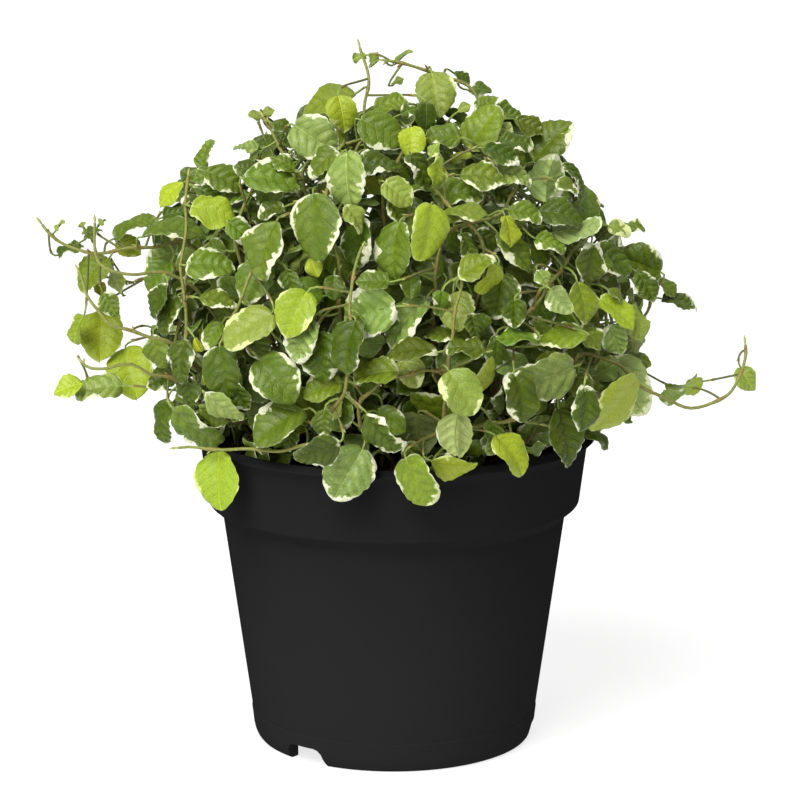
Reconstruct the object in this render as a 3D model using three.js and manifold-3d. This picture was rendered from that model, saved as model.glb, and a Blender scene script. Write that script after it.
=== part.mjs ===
// A creeping fig with cream-edged leaves in a round black nursery pot.
// Millimetres, +Z up, the front of the plant towards -Y, origin under the pot on its axis.
import * as THREE from "three";
import * as BufferGeometryUtils from "three/addons/utils/BufferGeometryUtils.js";
import Module from "manifold-3d";

const wasm = await Module();
wasm.setup();

// Pot sizes
const POT_HEIGHT = 93;
const LIP_RISE = 1.5;
const POT_SIDES = 30;
const POT_WALL = 1.5;
const LIP_RADIUS = 60.2;
const COLLAR_TOP_RADIUS = 57.6;
const COLLAR_FOOT_RADIUS = 55.4;
const BODY_TOP_RADIUS = 51.3;
const BODY_FOOT_RADIUS = 41.9;
const FLOOR_TOP = 8.0;
const FLOOR_UNDER = 6.4;
const FOOT_INNER_RADIUS = 37.6;
const NOTCH_WIDTH = 16;
const NOTCH_HEIGHT = 5.3;
const NOTCH_TURNS = [-130, -8, 110];
const DRAIN_RADIUS = 3.5;
const DRAIN_OFFSET = 24;
const DRAIN_TURNS = [-70, 50, 170];

// Soil sizes
const SOIL_TOP = 85.5;
const SOIL_LUMP = 0.7;
const SOIL_GAP = 0.3;
const HOLE_DEPTH = 9;

// Stems and leaves
const STEM_RADIUS = 0.95;
const STEM_SIDES = 3;
const SHOWN_STEP = 10;
const INNER_STEP = 15;
const BLADE = 0.8;
const SMOOTH = 0.195;
const WIDTH_SHARE = 0.85;
const STALK_HALF = 0.75;
const STALK_BACK = 2;
const BOW = 0.05;
const SMALL_LEAF = 12.5;
const BIG_LEAF = 16.5;
const SMALLEST_LEAF = 5.5;

// The dome that the leaves make: its middle above the ground and its half sizes
const DOME_Z = POT_HEIGHT + 26;
const DOME_X = 76;
const DOME_Y = 70;
const DOME_UP = 76;

// The side the plant is seen from: a little from above, about a metre away
const SIGHT_DIP = (12.2 * Math.PI) / 180;
const SIGHT_REACH = 1000;
const SIGHT_MID = [1.8, 9.25];

const v3 = (x, y, z) => new THREE.Vector3(x, y, z);
const SEEN_RIGHT = v3(1, 0, 0);
const SEEN_UP = v3(0, Math.sin(SIGHT_DIP), Math.cos(SIGHT_DIP));
const SEEN_AWAY = v3(0, Math.cos(SIGHT_DIP), -Math.sin(SIGHT_DIP));
const TO_EYE = SEEN_AWAY.clone().negate();
const RIM_MID = v3(0, 0, POT_HEIGHT);

// One seeded draw from 0 to 1
function dice(seed) {
  let state = seed;
  return () => {
    state = (state * 48271) % 2147483647;
    return state / 2147483647;
  };
}

// A point seen right and up of the rim's middle, so deep behind the plane through the axis
function seenPoint([right, up, deep]) {
  const grow = 1 + deep / SIGHT_REACH;
  return RIM_MID.clone()
    .addScaledVector(SEEN_AWAY, deep)
    .addScaledVector(SEEN_RIGHT, SIGHT_MID[0] + (right - SIGHT_MID[0]) * grow)
    .addScaledVector(SEEN_UP, SIGHT_MID[1] + (up - SIGHT_MID[1]) * grow);
}

// Where a point is seen: right, up and deep
function seenFrom(point) {
  const from = point.clone().sub(RIM_MID);
  const deep = from.dot(SEEN_AWAY);
  const grow = 1 + deep / SIGHT_REACH;
  const right = SIGHT_MID[0] + (from.dot(SEEN_RIGHT) - SIGHT_MID[0]) / grow;
  const up = SIGHT_MID[1] + (from.dot(SEEN_UP) - SIGHT_MID[1]) / grow;
  return [right, up, deep];
}

// How deep the front of the dome lies at a seen place
const FACE_MID = [3, 28];
const FACE_HALF = [78, 76];
const FACE_DEEP = 66;
function faceDepth(right, up) {
  const a = (right - FACE_MID[0]) / FACE_HALF[0];
  const b = (up - FACE_MID[1]) / FACE_HALF[1];
  return -FACE_DEEP * Math.sqrt(Math.max(0, 1 - a * a - b * b));
}

// The way out of the dome at a point, a little upwards
function wayOut(point) {
  return v3(
    point.x / (DOME_X * DOME_X),
    point.y / (DOME_Y * DOME_Y),
    (point.z - DOME_Z) / (DOME_UP * DOME_UP),
  )
    .normalize()
    .addScaledVector(v3(0, 0, 1), 0.3)
    .normalize();
}

// Stems that show: seen places from inside the bush to the tip, then the hole in the soil.
// A third number is a depth; without it the stem lies on the face of the dome.
const SEEN_STEMS = [
  // trailing right, low
  { hole: [40, -22], path: [[57, 23, -38], [67, 19.5, -34], [74, 13.5, -30], [81, 9.3, -27],
    [90, 7.2, -24], [97, 8.6, -22], [102, 14.5, -20], [104.8, 21.5, -18], [104.4, 29, -17]] },
  // right, upper
  { hole: [38, 12], path: [[60, 22, -20], [70, 25, -18], [72, 31, -14], [77, 40, -12],
    [77.4, 49, -10]] },
  // far left, upper
  { hole: [-36, 4], path: [[-56, 52, -6], [-64, 56.5, -8], [-75, 54.3, -10], [-86, 54, -12],
    [-97, 53.3, -13], [-102, 60, -14], [-106.4, 63.6, -15]] },
  // second left
  { hole: [-30, -6], path: [[-62, 45, -22], [-74, 47, -24], [-83.5, 47, -26], [-87.8, 50, -24],
    [-89.4, 56, -22], [-89.2, 65, -20]] },
  // left
  { hole: [-38, -8], path: [[-66, 26, -30], [-76, 29, -32], [-86, 33, -33], [-91, 40, -32],
    [-93.5, 46, -30], [-94.8, 49.5, -29]] },
  // left, low
  { hole: [-42, 2], path: [[-62, 14, -22], [-73.5, 17.5, -26], [-84, 20.3, -28], [-89.5, 18.5, -28],
    [-93.6, 17, -27], [-94.3, 22.5, -26]] },
  // over the rim, left
  { hole: [-32, -24], path: [[-20, -1.5, -60], [-29, -5.2, -54], [-41, -5.6, -48],
    [-54, -5.2, -42], [-67, -5, -36]] },
  // upright, left
  { hole: [-26, -14], path: [[-60, 20, -32], [-62, 34, -34], [-63.2, 48, -32], [-62, 64, -26],
    [-61.3, 78, -20]] },
  // top sprig
  { hole: [-8, -6], path: [[-14, 72, -34], [-10, 86, -26], [-8.2, 95, -20], [-8.8, 101, -18],
    [-8, 108, -16], [-11, 117, -14]] },
  // arch at the top
  { hole: [14, -4], path: [[28, 84, -12], [27, 94, -8], [24, 101, -6], [16, 105.4, -5],
    [8, 108.8, -5], [0.5, 109, -6], [-5, 110.6, -7]] },
  // top left sprig
  { hole: [-16, 2], path: [[-28, 68, -30], [-31, 79, -24], [-35, 86, -18], [-38.6, 93, -14],
    [-39.8, 96, -13]] },
  // across the front, above the middle
  { hole: [10, -18], path: [[13, 50, -58], [15, 58, -56], [24, 62.5, -52], [33, 66, -46],
    [36.5, 73, -40], [38, 79, -34]] },
  // right of the middle
  { hole: [24, -20], path: [[38, 34, -52], [44, 40, -50], [49, 47, -44], [53, 53, -38],
    [58, 58, -32]] },
  // low, over the middle of the rim
  { hole: [2, -34], path: [[-11, 3, -59], [-8.5, 11, -61], [-3, 15, -62], [8, 17.5, -62],
    [18, 19, -61], [25, 21.5, -58], [27.3, 27, -56]] },
  // low right
  { hole: [20, -36], path: [[14, -2, -56], [23, 1.5, -55], [30, 2.2, -53], [38, 3.2, -49],
    [46, 1.5, -46]] },
];

// Stems inside the bush, in rings: how many, where each leaves the soil, and the stretch of
// the dome that it climbs: from and to these degrees above the dome's middle, and how far round
const RINGS = [
  { count: 12, start: 9, soil: 41, climb: [-10, 36], drift: 12, under: 0.87, lift: 14 },
  { count: 8, start: 28, soil: 24, climb: [34, 62], drift: -16, under: 0.86, lift: 6 },
  { count: 5, start: 50, soil: 13, climb: [62, 83], drift: 34, under: 0.87, lift: 6 },
];

// Sprigs that stand out at the back and the sides: the hole in the soil, then turns round the
// axis and rises in degrees, each with its share of the dome's size
const BACK_SPRIGS = [
  { hole: [16, 36], path: [[72, -6, 0.78], [80, 10, 0.88], [92, 20, 0.97], [102, 24, 1.03],
    [110, 22, 1.08]] },
  { hole: [-16, 30], path: [[112, 24, 0.74], [118, 38, 0.9], [124, 43, 1.0], [130, 41, 1.08]] },
  { hole: [30, 30], path: [[50, -8, 0.84], [54, -14, 0.98], [60, -18, 1.08], [67, -20, 1.17]] },
  { hole: [-32, 26], path: [[136, -4, 0.82], [142, 6, 0.96], [150, 10, 1.08], [157, 8, 1.18]] },
  { hole: [30, 8], path: [[26, 30, 0.78], [30, 40, 0.92], [36, 45, 1.02], [44, 42, 1.09]] },
];

// How far a stem inside the bush weaves to the sides, in degrees
const WEAVE = 10;

// Leaves that show, those in front first: seen right, up, length, width and way the tip
// points in degrees, then P where the underside faces out, then a push in depth
const SEEN_LEAVES = [
  // top
  [-20, 98.5, 16, 8, 200],
  [-15.5, 94.5, 11, 9, -80],
  [-23.5, 87, 15, 13, -35],
  [-21.5, 80, 11, 7, 225],
  [-16.3, 87.5, 5, 3.5, -80],
  [-3.5, 89.5, 14, 11, -30],
  [5.2, 86.2, 9, 8, -90],
  [-5, 79.5, 13, 7, 0],
  [8, 77.5, 11, 6, -65],
  [13, 77, 9.5, 4.5, -100],
  [12.5, 100.5, 13.5, 12, -80],
  [-1, 97.5, 10, 6, 20],
  [4.5, 95.5, 5, 4, 20],
  [7, 94.5, 9, 3.5, 60],
  [14.5, 88, 10, 7, 180],
  [26.5, 91, 15, 11, 55],
  [27.5, 97.5, 8, 5, 40],
  [33.5, 95, 9, 5.5, -10],
  [33, 90, 6, 4, -20],
  [40.5, 91, 9, 6, -30],
  [36.5, 86, 10, 6, 0],
  [25.7, 102, 7, 4.5, 0],
  [20.5, 105.5, 6, 3, -35],
  [-6, 111.5, 4, 3, 60],
  [-10.5, 111.5, 4, 3, 200],
  [32.5, 82.5, 11, 6, -25],
  [36, 76.5, 11, 7, -20],
  [47, 87, 16, 10, 45],
  [46, 75.5, 14, 11, 80, "P"],
  [54, 75.5, 11, 3.5, -55],
  [50, 64.5, 13, 8, -15],
  [39.5, 65, 10, 6, -20],
  [34.5, 59.5, 9, 5.5, -80],
  [27, 76, 13, 8, -10],
  [20, 71, 13, 8, 0],
  [21.5, 65.5, 12, 4.5, 0],
  // upper left
  [-36, 75, 16, 9.5, -12],
  [-43.5, 78, 9, 5, 160],
  [-14, 74.5, 16, 10.5, -85],
  [-6, 73.3, 8, 5.5, -35],
  [1.5, 71, 10, 8, -40],
  [1, 65, 8, 5, -60],
  [-56, 76.5, 9, 5, 200],
  [-56.5, 83, 9, 4.5, 70],
  [-66.8, 70.8, 10, 5.5, 225],
  [-44, 84.8, 8, 3, 180],
  [-36, 87, 8, 4, 40],
  [-33, 90.5, 7, 4, -30],
  [-41.5, 94.2, 4, 3, 160],
  [-37.5, 95.2, 4, 3, 20],
  // left, middle height
  [-53.5, 65, 14, 9.5, -20],
  [-45.5, 59.5, 9, 7, -40],
  [-65, 59.7, 19, 6, 0],
  [-77.5, 61.5, 14, 5, 25],
  [-54.5, 49.5, 14, 9, -5],
  [-38.5, 54, 17, 11, -105],
  [-42, 44.5, 14, 10.5, -115],
  [-52, 39, 11, 5, -15],
  [-44, 30.5, 16, 10.5, 215],
  [-29.5, 34.8, 14, 11.5, -115],
  [-27.5, 27, 13, 9, -110],
  [-54, 28.5, 9, 6, 240],
  [-51, 17.5, 15, 11.5, -80],
  [-37, 66, 8, 5, 200],
  [-70, 52, 9, 7, 200],
  [-70.5, 46.5, 11, 8, 230],
  [-70.5, 39, 11, 5.5, 250],
  [-67.5, 34.5, 12, 7, 250],
  [-68, 28, 10, 4, -25],
  [-63.5, 20.5, 12.5, 7.5, -95],
  [-68.5, 16, 12, 7, 200],
  // far left
  [-79, 55, 8, 7, -30],
  [-96.5, 54.5, 8, 3.5, 20],
  [-90, 59, 6, 3, 30],
  [-90, 47, 13, 9, 230],
  [-83, 45, 11, 4, -70],
  [-87.3, 29, 15, 14, -90],
  [-94.5, 30.5, 9, 5, 250],
  [-84.8, 37.5, 8, 6.5, -60],
  [-78.5, 17.5, 15.5, 14, -75],
  [-97.5, 13, 9, 6, 200],
  [-88.5, 13, 14, 8, 190],
  // middle
  [-23.8, 60.5, 19, 13.5, -85],
  [-11, 56, 14, 8.5, -95],
  [-11.5, 63.5, 9, 5, -60],
  [-16.5, 50, 10, 8, -60],
  [-23.8, 48.8, 6, 5, -70],
  [-17.8, 42.8, 7, 6, -90],
  [-8.3, 35.5, 15, 14.5, 190],
  [-6.5, 45, 9.5, 6, 180],
  [0, 53.5, 16, 10, -95],
  [10, 59, 16, 10, -100],
  [11, 46.8, 15, 13.5, 120],
  [5, 43, 6, 6, -90],
  [3, 32.5, 17, 9.5, 235],
  [18.7, 36, 10.5, 10.5, -80],
  [24.5, 49.3, 11.5, 6.5, 30],
  [28.3, 44.8, 9.5, 4.8, 235],
  [31.5, 40, 13, 11, -100],
  [36.5, 53.5, 14, 7, -50],
  [40, 45.5, 13, 5, -30],
  [44.5, 45.3, 6, 4, -60],
  [28.5, 57, 9, 6, -30],
  [49.5, 38.5, 9, 7, -50, "P"],
  [56.5, 38, 12, 8, -80],
  [44.5, 35.5, 10, 7, -60],
  [36, 35, 8, 7, -90],
  [15.5, 28.5, 13, 4, 175],
  [21.5, 25, 11, 5, 175],
  // right
  [55, 60, 14, 6, 10, "P"],
  [58.5, 49.5, 12.5, 8.5, -100],
  [64.5, 51, 14, 9, -20],
  [73, 50, 14, 12, 160],
  [75.5, 43, 10, 7, -60],
  [67.5, 60.3, 7, 5, -20],
  [81, 43.5, 9, 4, -40],
  [85.5, 38.8, 11, 4.5, -15],
  [67, 35.5, 13, 7, -40],
  [72, 32, 11, 7, -60],
  [59, 28, 9, 6, -50],
  [66, 27, 9, 8, -70],
  [66, 7.5, 20, 10, 230],
  [69.5, 13, 19, 16, -60, "P"],
  [72, 21.5, 10, 5, -10],
  [105.4, 15.3, 8, 7, -60],
  [86.5, 13, 11, 4, 190],
  [83, 10.5, 8, 4, 200],
  // low
  [25, 14.5, 16, 5, 45],
  [7, -15.3, 15, 10.5, -60],
  [18, -10.5, 13, 6, -5],
  [-13.8, -13, 16.5, 14, -120],
  [-23, -6.5, 13, 8, 200],
  [-69, 3, 13, 6, -95],
  [-59, 0.5, 17, 8, -35],
  [-51, 7, 13, 6, -35],
  [-61, 11, 10, 6, -80],
  [-52.5, -15, 17, 12.5, -88],
  [-35, 15.3, 15.5, 13.5, -50],
  [-35, 2, 17, 11, 215],
  [-21.5, 13, 12, 8, 200],
  [-17.5, 6.5, 6, 4, 250],
  [-21, 2, 8, 6, -90],
  [-22, 22, 14, 11, -80],
  [-14, 25, 15, 9, -100],
  [-5.5, 17.5, 13, 7, 190],
  [5, 24, 14, 6, 185],
  [5, 17.5, 9, 8, -60],
  [-3.5, -1, 14, 7, -45],
  [-8.5, -4, 14, 10, -100],
  [7, -0.5, 12, 12.5, -90, "P"],
  [18.5, -1.5, 12.5, 10, -90, "P"],
  [14, 7.5, 18, 8.5, 175],
  [20.5, 11.5, 14, 11.5, -60],
  [30.5, 23, 10, 6, -95],
  [44, 15.5, 19, 12.5, 195],
  [49.5, 28, 15, 6, 190],
  [54.5, 22, 9, 5, -60],
  [36, 28, 12, 4, 180],
  [38, 10, 14, 10, -80],
  [57, 6.5, 13, 8, -95],
  [51.5, -2, 17, 9.5, -80],
  [25.5, -5, 18, 6, -100],
  [29.5, -2.5, 9, 5, -90],
  [35.2, -7, 13, 8, -55],
];

// The inside of the pot's wall, from the floor up, as radius and height
const STEP_Z = POT_HEIGHT - 24.5;
const INNER_WALL = [
  [BODY_FOOT_RADIUS - 1.1, FLOOR_TOP],
  [BODY_TOP_RADIUS - POT_WALL, STEP_Z - 0.6],
  [COLLAR_FOOT_RADIUS - POT_WALL, POT_HEIGHT - 21.4],
  [COLLAR_TOP_RADIUS - POT_WALL - 0.4, POT_HEIGHT - 2.4],
];

// Pot: one wall turned round the axis, its foot a skirt under a raised floor
function potProfile() {
  const outer = [
    [COLLAR_TOP_RADIUS, POT_HEIGHT + LIP_RISE],
    [LIP_RADIUS, POT_HEIGHT + 0.2],
    [LIP_RADIUS, POT_HEIGHT - 0.4],
    [COLLAR_TOP_RADIUS, POT_HEIGHT - 2.8],
    [COLLAR_FOOT_RADIUS, POT_HEIGHT - 20.3],
    [COLLAR_FOOT_RADIUS - 1.4, POT_HEIGHT - 22.8],
    [BODY_TOP_RADIUS, STEP_Z],
    [BODY_FOOT_RADIUS, 3.6],
    [BODY_FOOT_RADIUS - 1, 1.2],
    [BODY_FOOT_RADIUS - 2.6, 0],
  ];
  const inner = [
    [FOOT_INNER_RADIUS, 0],
    [FOOT_INNER_RADIUS + 0.6, FLOOR_UNDER],
    [0, FLOOR_UNDER],
    [0, FLOOR_TOP],
    ...INNER_WALL,
    [COLLAR_TOP_RADIUS - POT_WALL + 0.3, POT_HEIGHT + LIP_RISE - 0.4],
  ];
  return [...inner, ...outer].reverse().map(([r, z]) => new THREE.Vector2(r, z));
}

// A solid from triangles given as a flat list of corners
function solidOf(positions) {
  const soup = new THREE.BufferGeometry();
  soup.setAttribute("position", new THREE.Float32BufferAttribute(positions, 3));
  const merged = BufferGeometryUtils.mergeVertices(soup, 1e-4);
  return new wasm.Manifold(
    new wasm.Mesh({
      numProp: 3,
      vertProperties: new Float32Array(merged.attributes.position.array),
      triVerts: new Uint32Array(merged.index.array),
    }),
  );
}

// A solid from a three.js geometry
function solidFrom(geometry) {
  const bare = geometry.index ? geometry.toNonIndexed() : geometry;
  const at = bare.attributes.position.array;
  const corners = [];
  for (let i = 0; i < at.length; i += 9) {
    const a = v3(at[i], at[i + 1], at[i + 2]);
    const b = v3(at[i + 3], at[i + 4], at[i + 5]);
    const c = v3(at[i + 6], at[i + 7], at[i + 8]);
    if (b.clone().sub(a).cross(c.clone().sub(a)).length() > 1e-7) {
      corners.push(...at.slice(i, i + 9));
    }
  }
  return solidOf(corners);
}

// A mesh from a solid
function meshOf(name, solid, colour, roughness) {
  const mesh = solid.getMesh();
  const geometry = new THREE.BufferGeometry();
  geometry.setAttribute("position", new THREE.BufferAttribute(mesh.vertProperties, 3));
  geometry.setIndex(new THREE.BufferAttribute(mesh.triVerts, 1));
  geometry.computeVertexNormals();
  const material = new THREE.MeshStandardMaterial({ color: colour, roughness, metalness: 0 });
  const made = new THREE.Mesh(geometry, material);
  made.name = name;
  return made;
}

// A lathe solid standing on the Z axis
function turned(profile, sides) {
  const geometry = new THREE.LatheGeometry([...profile, profile[0]], sides);
  geometry.rotateX(Math.PI / 2);
  return solidFrom(geometry);
}

function makePot() {
  let pot = turned(potProfile(), POT_SIDES);
  const arch = new THREE.Shape();
  const half = NOTCH_WIDTH / 2;
  arch.moveTo(-half, -2);
  arch.lineTo(half + 1, -2);
  arch.lineTo(half - 1, NOTCH_HEIGHT - 1.2);
  arch.lineTo(half - 3, NOTCH_HEIGHT);
  arch.lineTo(-half + 2.5, NOTCH_HEIGHT);
  arch.lineTo(-half + 0.5, NOTCH_HEIGHT - 2);
  for (const turn of NOTCH_TURNS) {
    const cutter = new THREE.ExtrudeGeometry(arch, { depth: 12, bevelEnabled: false });
    cutter.rotateX(Math.PI / 2);
    cutter.rotateZ(Math.PI);
    cutter.translate(0, 34, 0);
    cutter.rotateZ(((turn - 90) * Math.PI) / 180);
    pot = pot.subtract(solidFrom(cutter));
  }
  for (const turn of DRAIN_TURNS) {
    const drill = new THREE.CylinderGeometry(DRAIN_RADIUS, DRAIN_RADIUS, 8, 8);
    const angle = (turn * Math.PI) / 180;
    drill.rotateX(Math.PI / 2);
    drill.translate(DRAIN_OFFSET * Math.cos(angle), DRAIN_OFFSET * Math.sin(angle), 7);
    pot = pot.subtract(solidFrom(drill));
  }
  return pot;
}

// A stem's run: upright in its hole, then a smooth way through the points, in even steps
function stemRun(x, y, points, step) {
  const exit = v3(x, y, SOIL_TOP + 1.6);
  const curve = new THREE.CatmullRomCurve3([exit, ...points], false, "centripetal");
  const count = Math.max(3, Math.round(curve.getLength() / step));
  return [v3(x, y, SOIL_TOP - HOLE_DEPTH + SOIL_GAP), ...curve.getSpacedPoints(count)];
}

// The frame round a stem's run at each of its points
function stemFrames(run) {
  let side = v3(1, 0, 0);
  return run.map((point, i) => {
    const before = run[Math.max(0, i - 1)];
    const after = run[Math.min(run.length - 1, i + 1)];
    const way = after.clone().sub(before).normalize();
    side = side.clone().addScaledVector(way, -side.dot(way)).normalize();
    const other = way.clone().cross(side);
    return { point, side: side.clone(), other };
  });
}

// A bar with few sides along a run, thinner at the tip where it is asked for
function barSolid(run, thick, tipShare) {
  const rings = stemFrames(run).map(({ point, side, other }, i) => {
    const radius = thick * (i > run.length - 3 ? tipShare : 1);
    return ringOf(STEM_SIDES, radius, () => 0).map((spot) =>
      point.clone().addScaledVector(side, spot.x).addScaledVector(other, spot.y),
    );
  });
  const corners = [];
  const add = (a, b, c) => corners.push(...a.toArray(), ...b.toArray(), ...c.toArray());
  for (let i = 0; i + 1 < rings.length; i += 1) {
    for (let k = 0; k < STEM_SIDES; k += 1) {
      const n = (k + 1) % STEM_SIDES;
      add(rings[i][k], rings[i][n], rings[i + 1][n]);
      add(rings[i][k], rings[i + 1][n], rings[i + 1][k]);
    }
  }
  const last = rings[rings.length - 1];
  for (let k = 1; k + 1 < STEM_SIDES; k += 1) {
    add(rings[0][0], rings[0][k + 1], rings[0][k]);
    add(last[0], last[k], last[k + 1]);
  }
  return solidOf(corners);
}

// The nearest distance between two straight pieces
function pieceGap(p1, q1, p2, q2) {
  const d1 = q1.clone().sub(p1);
  const d2 = q2.clone().sub(p2);
  const r = p1.clone().sub(p2);
  const a = d1.dot(d1);
  const e = d2.dot(d2);
  const f = d2.dot(r);
  const c = d1.dot(r);
  const b = d1.dot(d2);
  const denom = a * e - b * b;
  let s = denom > 1e-9 ? Math.min(1, Math.max(0, (b * f - c * e) / denom)) : 0;
  let t = (b * s + f) / e;
  if (t < 0) {
    t = 0;
    s = Math.min(1, Math.max(0, -c / a));
  } else if (t > 1) {
    t = 1;
    s = Math.min(1, Math.max(0, (b - c) / a));
  }
  const near = p1.clone().addScaledVector(d1, s);
  return near.distanceTo(p2.clone().addScaledVector(d2, t));
}

// Whether two runs keep clear of each other
function runsClear(run, others, gap) {
  for (const other of others) {
    for (let i = 0; i + 1 < run.length; i += 1) {
      for (let k = 0; k + 1 < other.length; k += 1) {
        if (pieceGap(run[i], run[i + 1], other[k], other[k + 1]) < gap) {
          return false;
        }
      }
    }
  }
  return true;
}

// A point on the dome, under its skin, at a turn round the axis and a rise in degrees
function domePoint(turn, rise, share) {
  const t = (turn * Math.PI) / 180;
  const u = (rise * Math.PI) / 180;
  return v3(
    DOME_X * share * Math.cos(u) * Math.cos(t),
    DOME_Y * share * Math.cos(u) * Math.sin(t),
    DOME_Z + DOME_UP * share * Math.sin(u),
  );
}

// Every stem's run, those that show first
function makeStems() {
  const runs = [];
  const draw = dice(20731);
  for (const stem of SEEN_STEMS) {
    const shown = stem.path.map(([u, v, d]) => seenPoint([u, v, d]));
    let run = null;
    for (let tries = 0; tries < 40 && !run; tries += 1) {
      const x = stem.hole[0] + (draw() - 0.5) * 0.5 * tries;
      const y = stem.hole[1] + (draw() - 0.5) * 0.5 * tries;
      const middle = v3(x, y, SOIL_TOP).lerp(shown[0], 0.5);
      middle.z += 3 + (draw() - 0.5) * tries;
      middle.x += (draw() - 0.5) * tries;
      const trial = stemRun(x, y, [middle, ...shown], SHOWN_STEP);
      if (runsClear(trial, runs, 2.4) || tries === 39) {
        run = trial;
      }
    }
    runs.push(run);
  }
  for (const sprig of BACK_SPRIGS) {
    const points = sprig.path.map(([turn, rise, share]) => domePoint(turn, rise, share));
    for (let tries = 0; tries < 40; tries += 1) {
      const x = sprig.hole[0] + (draw() - 0.5) * 0.5 * tries;
      const y = sprig.hole[1] + (draw() - 0.5) * 0.5 * tries;
      const middle = v3(x, y, SOIL_TOP + 4).lerp(points[0], 0.5);
      const trial = stemRun(x, y, [middle, ...points], SHOWN_STEP);
      if (runsClear(trial, runs, 2.4)) {
        runs.push(trial);
        break;
      }
    }
  }
  for (const ring of RINGS) {
    for (let k = 0; k < ring.count; k += 1) {
      let run = null;
      for (let tries = 0; tries < 60 && !run; tries += 1) {
        const turn = ring.start + (360 / ring.count) * k + (draw() - 0.5) * (6 + tries);
        const soilTurn = ((turn - 10 + (draw() - 0.5) * tries) * Math.PI) / 180;
        const out = ring.soil + (draw() - 0.5) * (2 + 0.2 * tries);
        const [x, y] = [out * Math.cos(soilTurn), out * Math.sin(soilTurn)];
        const [from, to] = ring.climb;
        const first = domePoint(turn, from, ring.under);
        const middle = v3(x, y, SOIL_TOP + ring.lift).lerp(first, 0.5);
        const points = [middle];
        for (let i = 0; i < 4; i += 1) {
          const share = i / 3;
          const rise = from + (to - from) * share;
          const weave = ring.drift * share + WEAVE * (draw() - 0.5);
          points.push(domePoint(turn + weave, rise, ring.under + 0.04 * (draw() - 0.5)));
        }
        const trial = stemRun(x, y, points, INNER_STEP);
        if (runsClear(trial, runs, 2.4)) {
          run = trial;
        }
      }
      if (run) {
        runs.push(run);
      }
    }
  }
  return runs;
}

// Blade outline: share of the length and of the width, from the stalk to the tip
const BIG_OUTLINE = [[0.1, 0.38], [0.42, 0.5], [0.78, 0.32]];
const MIDDLE_OUTLINE = [[0.15, 0.43], [0.62, 0.44]];
const SMALL_OUTLINE = [[0.42, 0.47]];

// A leaf's own frame and its corners, from its middle, way and upper side
function leafAt(middle, way, upper, length, width, foot) {
  const across = upper.clone().cross(way).normalize();
  const base = middle.clone().addScaledVector(way, -length / 2);
  const elbow = base.clone().addScaledVector(way, -STALK_BACK).addScaledVector(upper, -0.3);
  return { middle, way, upper, across, base, elbow, foot, length, width };
}

// The height of a bowed blade over its flat middle plane
function bowAt(leaf, share) {
  const off = share - 0.5;
  return -BOW * leaf.length * (4 * off * off - 0.33);
}

// A point of a leaf's blade from its shares of length and width
function bladePoint(leaf, along, aside) {
  return leaf.base
    .clone()
    .addScaledVector(leaf.way, leaf.length * along)
    .addScaledVector(leaf.across, leaf.width * aside)
    .addScaledVector(leaf.upper, bowAt(leaf, along));
}

// The straight pieces that stand for a leaf in the tests
function leafPieces(leaf) {
  const left = BIG_OUTLINE.map(([a, w]) => bladePoint(leaf, a, w));
  const right = BIG_OUTLINE.map(([a, w]) => bladePoint(leaf, a, -w));
  const tip = bladePoint(leaf, 1, 0);
  const loop = [leaf.elbow, ...left, tip, ...right.reverse(), leaf.elbow];
  const pieces = [];
  for (let i = 0; i + 1 < loop.length; i += 1) {
    pieces.push([loop[i], loop[i + 1]]);
  }
  pieces.push([leaf.elbow, tip]);
  return pieces;
}

// Whether a straight piece comes too near a leaf's blade
function pieceHitsBlade(p, q, leaf, slab) {
  const a = p.clone().sub(leaf.base);
  const b = q.clone().sub(leaf.base);
  const ha = a.dot(leaf.upper);
  const hb = b.dot(leaf.upper);
  if ((ha > slab && hb > slab) || (ha < -slab && hb < -slab)) {
    return false;
  }
  let t0 = 0;
  let t1 = 1;
  if (Math.abs(hb - ha) > 1e-6) {
    const ta = (-slab - ha) / (hb - ha);
    const tb = (slab - ha) / (hb - ha);
    t0 = Math.max(0, Math.min(ta, tb));
    t1 = Math.min(1, Math.max(ta, tb));
  }
  const xa = a.dot(leaf.way);
  const xb = b.dot(leaf.way);
  const ya = a.dot(leaf.across);
  const yb = b.dot(leaf.across);
  for (let i = 0; i <= 4; i += 1) {
    const t = t0 + ((t1 - t0) * i) / 4;
    const x = xa + (xb - xa) * t;
    const y = Math.abs(ya + (yb - ya) * t);
    if (x > -STALK_BACK - 1 && x < leaf.length + 1) {
      const off = (x / leaf.length - 0.45) / 0.6;
      const half = off * off < 1 ? 0.5 * leaf.width * Math.sqrt(1 - off * off) : 0;
      if (y < half + 1.2) {
        return true;
      }
    }
  }
  return false;
}

// Whether a point keeps clear of the pot and the soil
function clearOfPot(point) {
  if (point.z > POT_HEIGHT + LIP_RISE + 1.2) {
    return true;
  }
  const out = Math.hypot(point.x, point.y);
  if (out > LIP_RADIUS - 5) {
    const drop = POT_HEIGHT - point.z;
    const edge = drop < 3 ? LIP_RADIUS : drop < 21 ? COLLAR_TOP_RADIUS : COLLAR_FOOT_RADIUS;
    return out > edge + 1.3;
  }
  return point.z > SOIL_TOP + 2 && out < COLLAR_FOOT_RADIUS - POT_WALL - 1.2;
}

const FOOT_GAP = 2.2;
const BLADE_SLAB = 1.7;
const STEM_SLAB = 1.7;
const STALK_GAP = 1.9;

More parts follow.
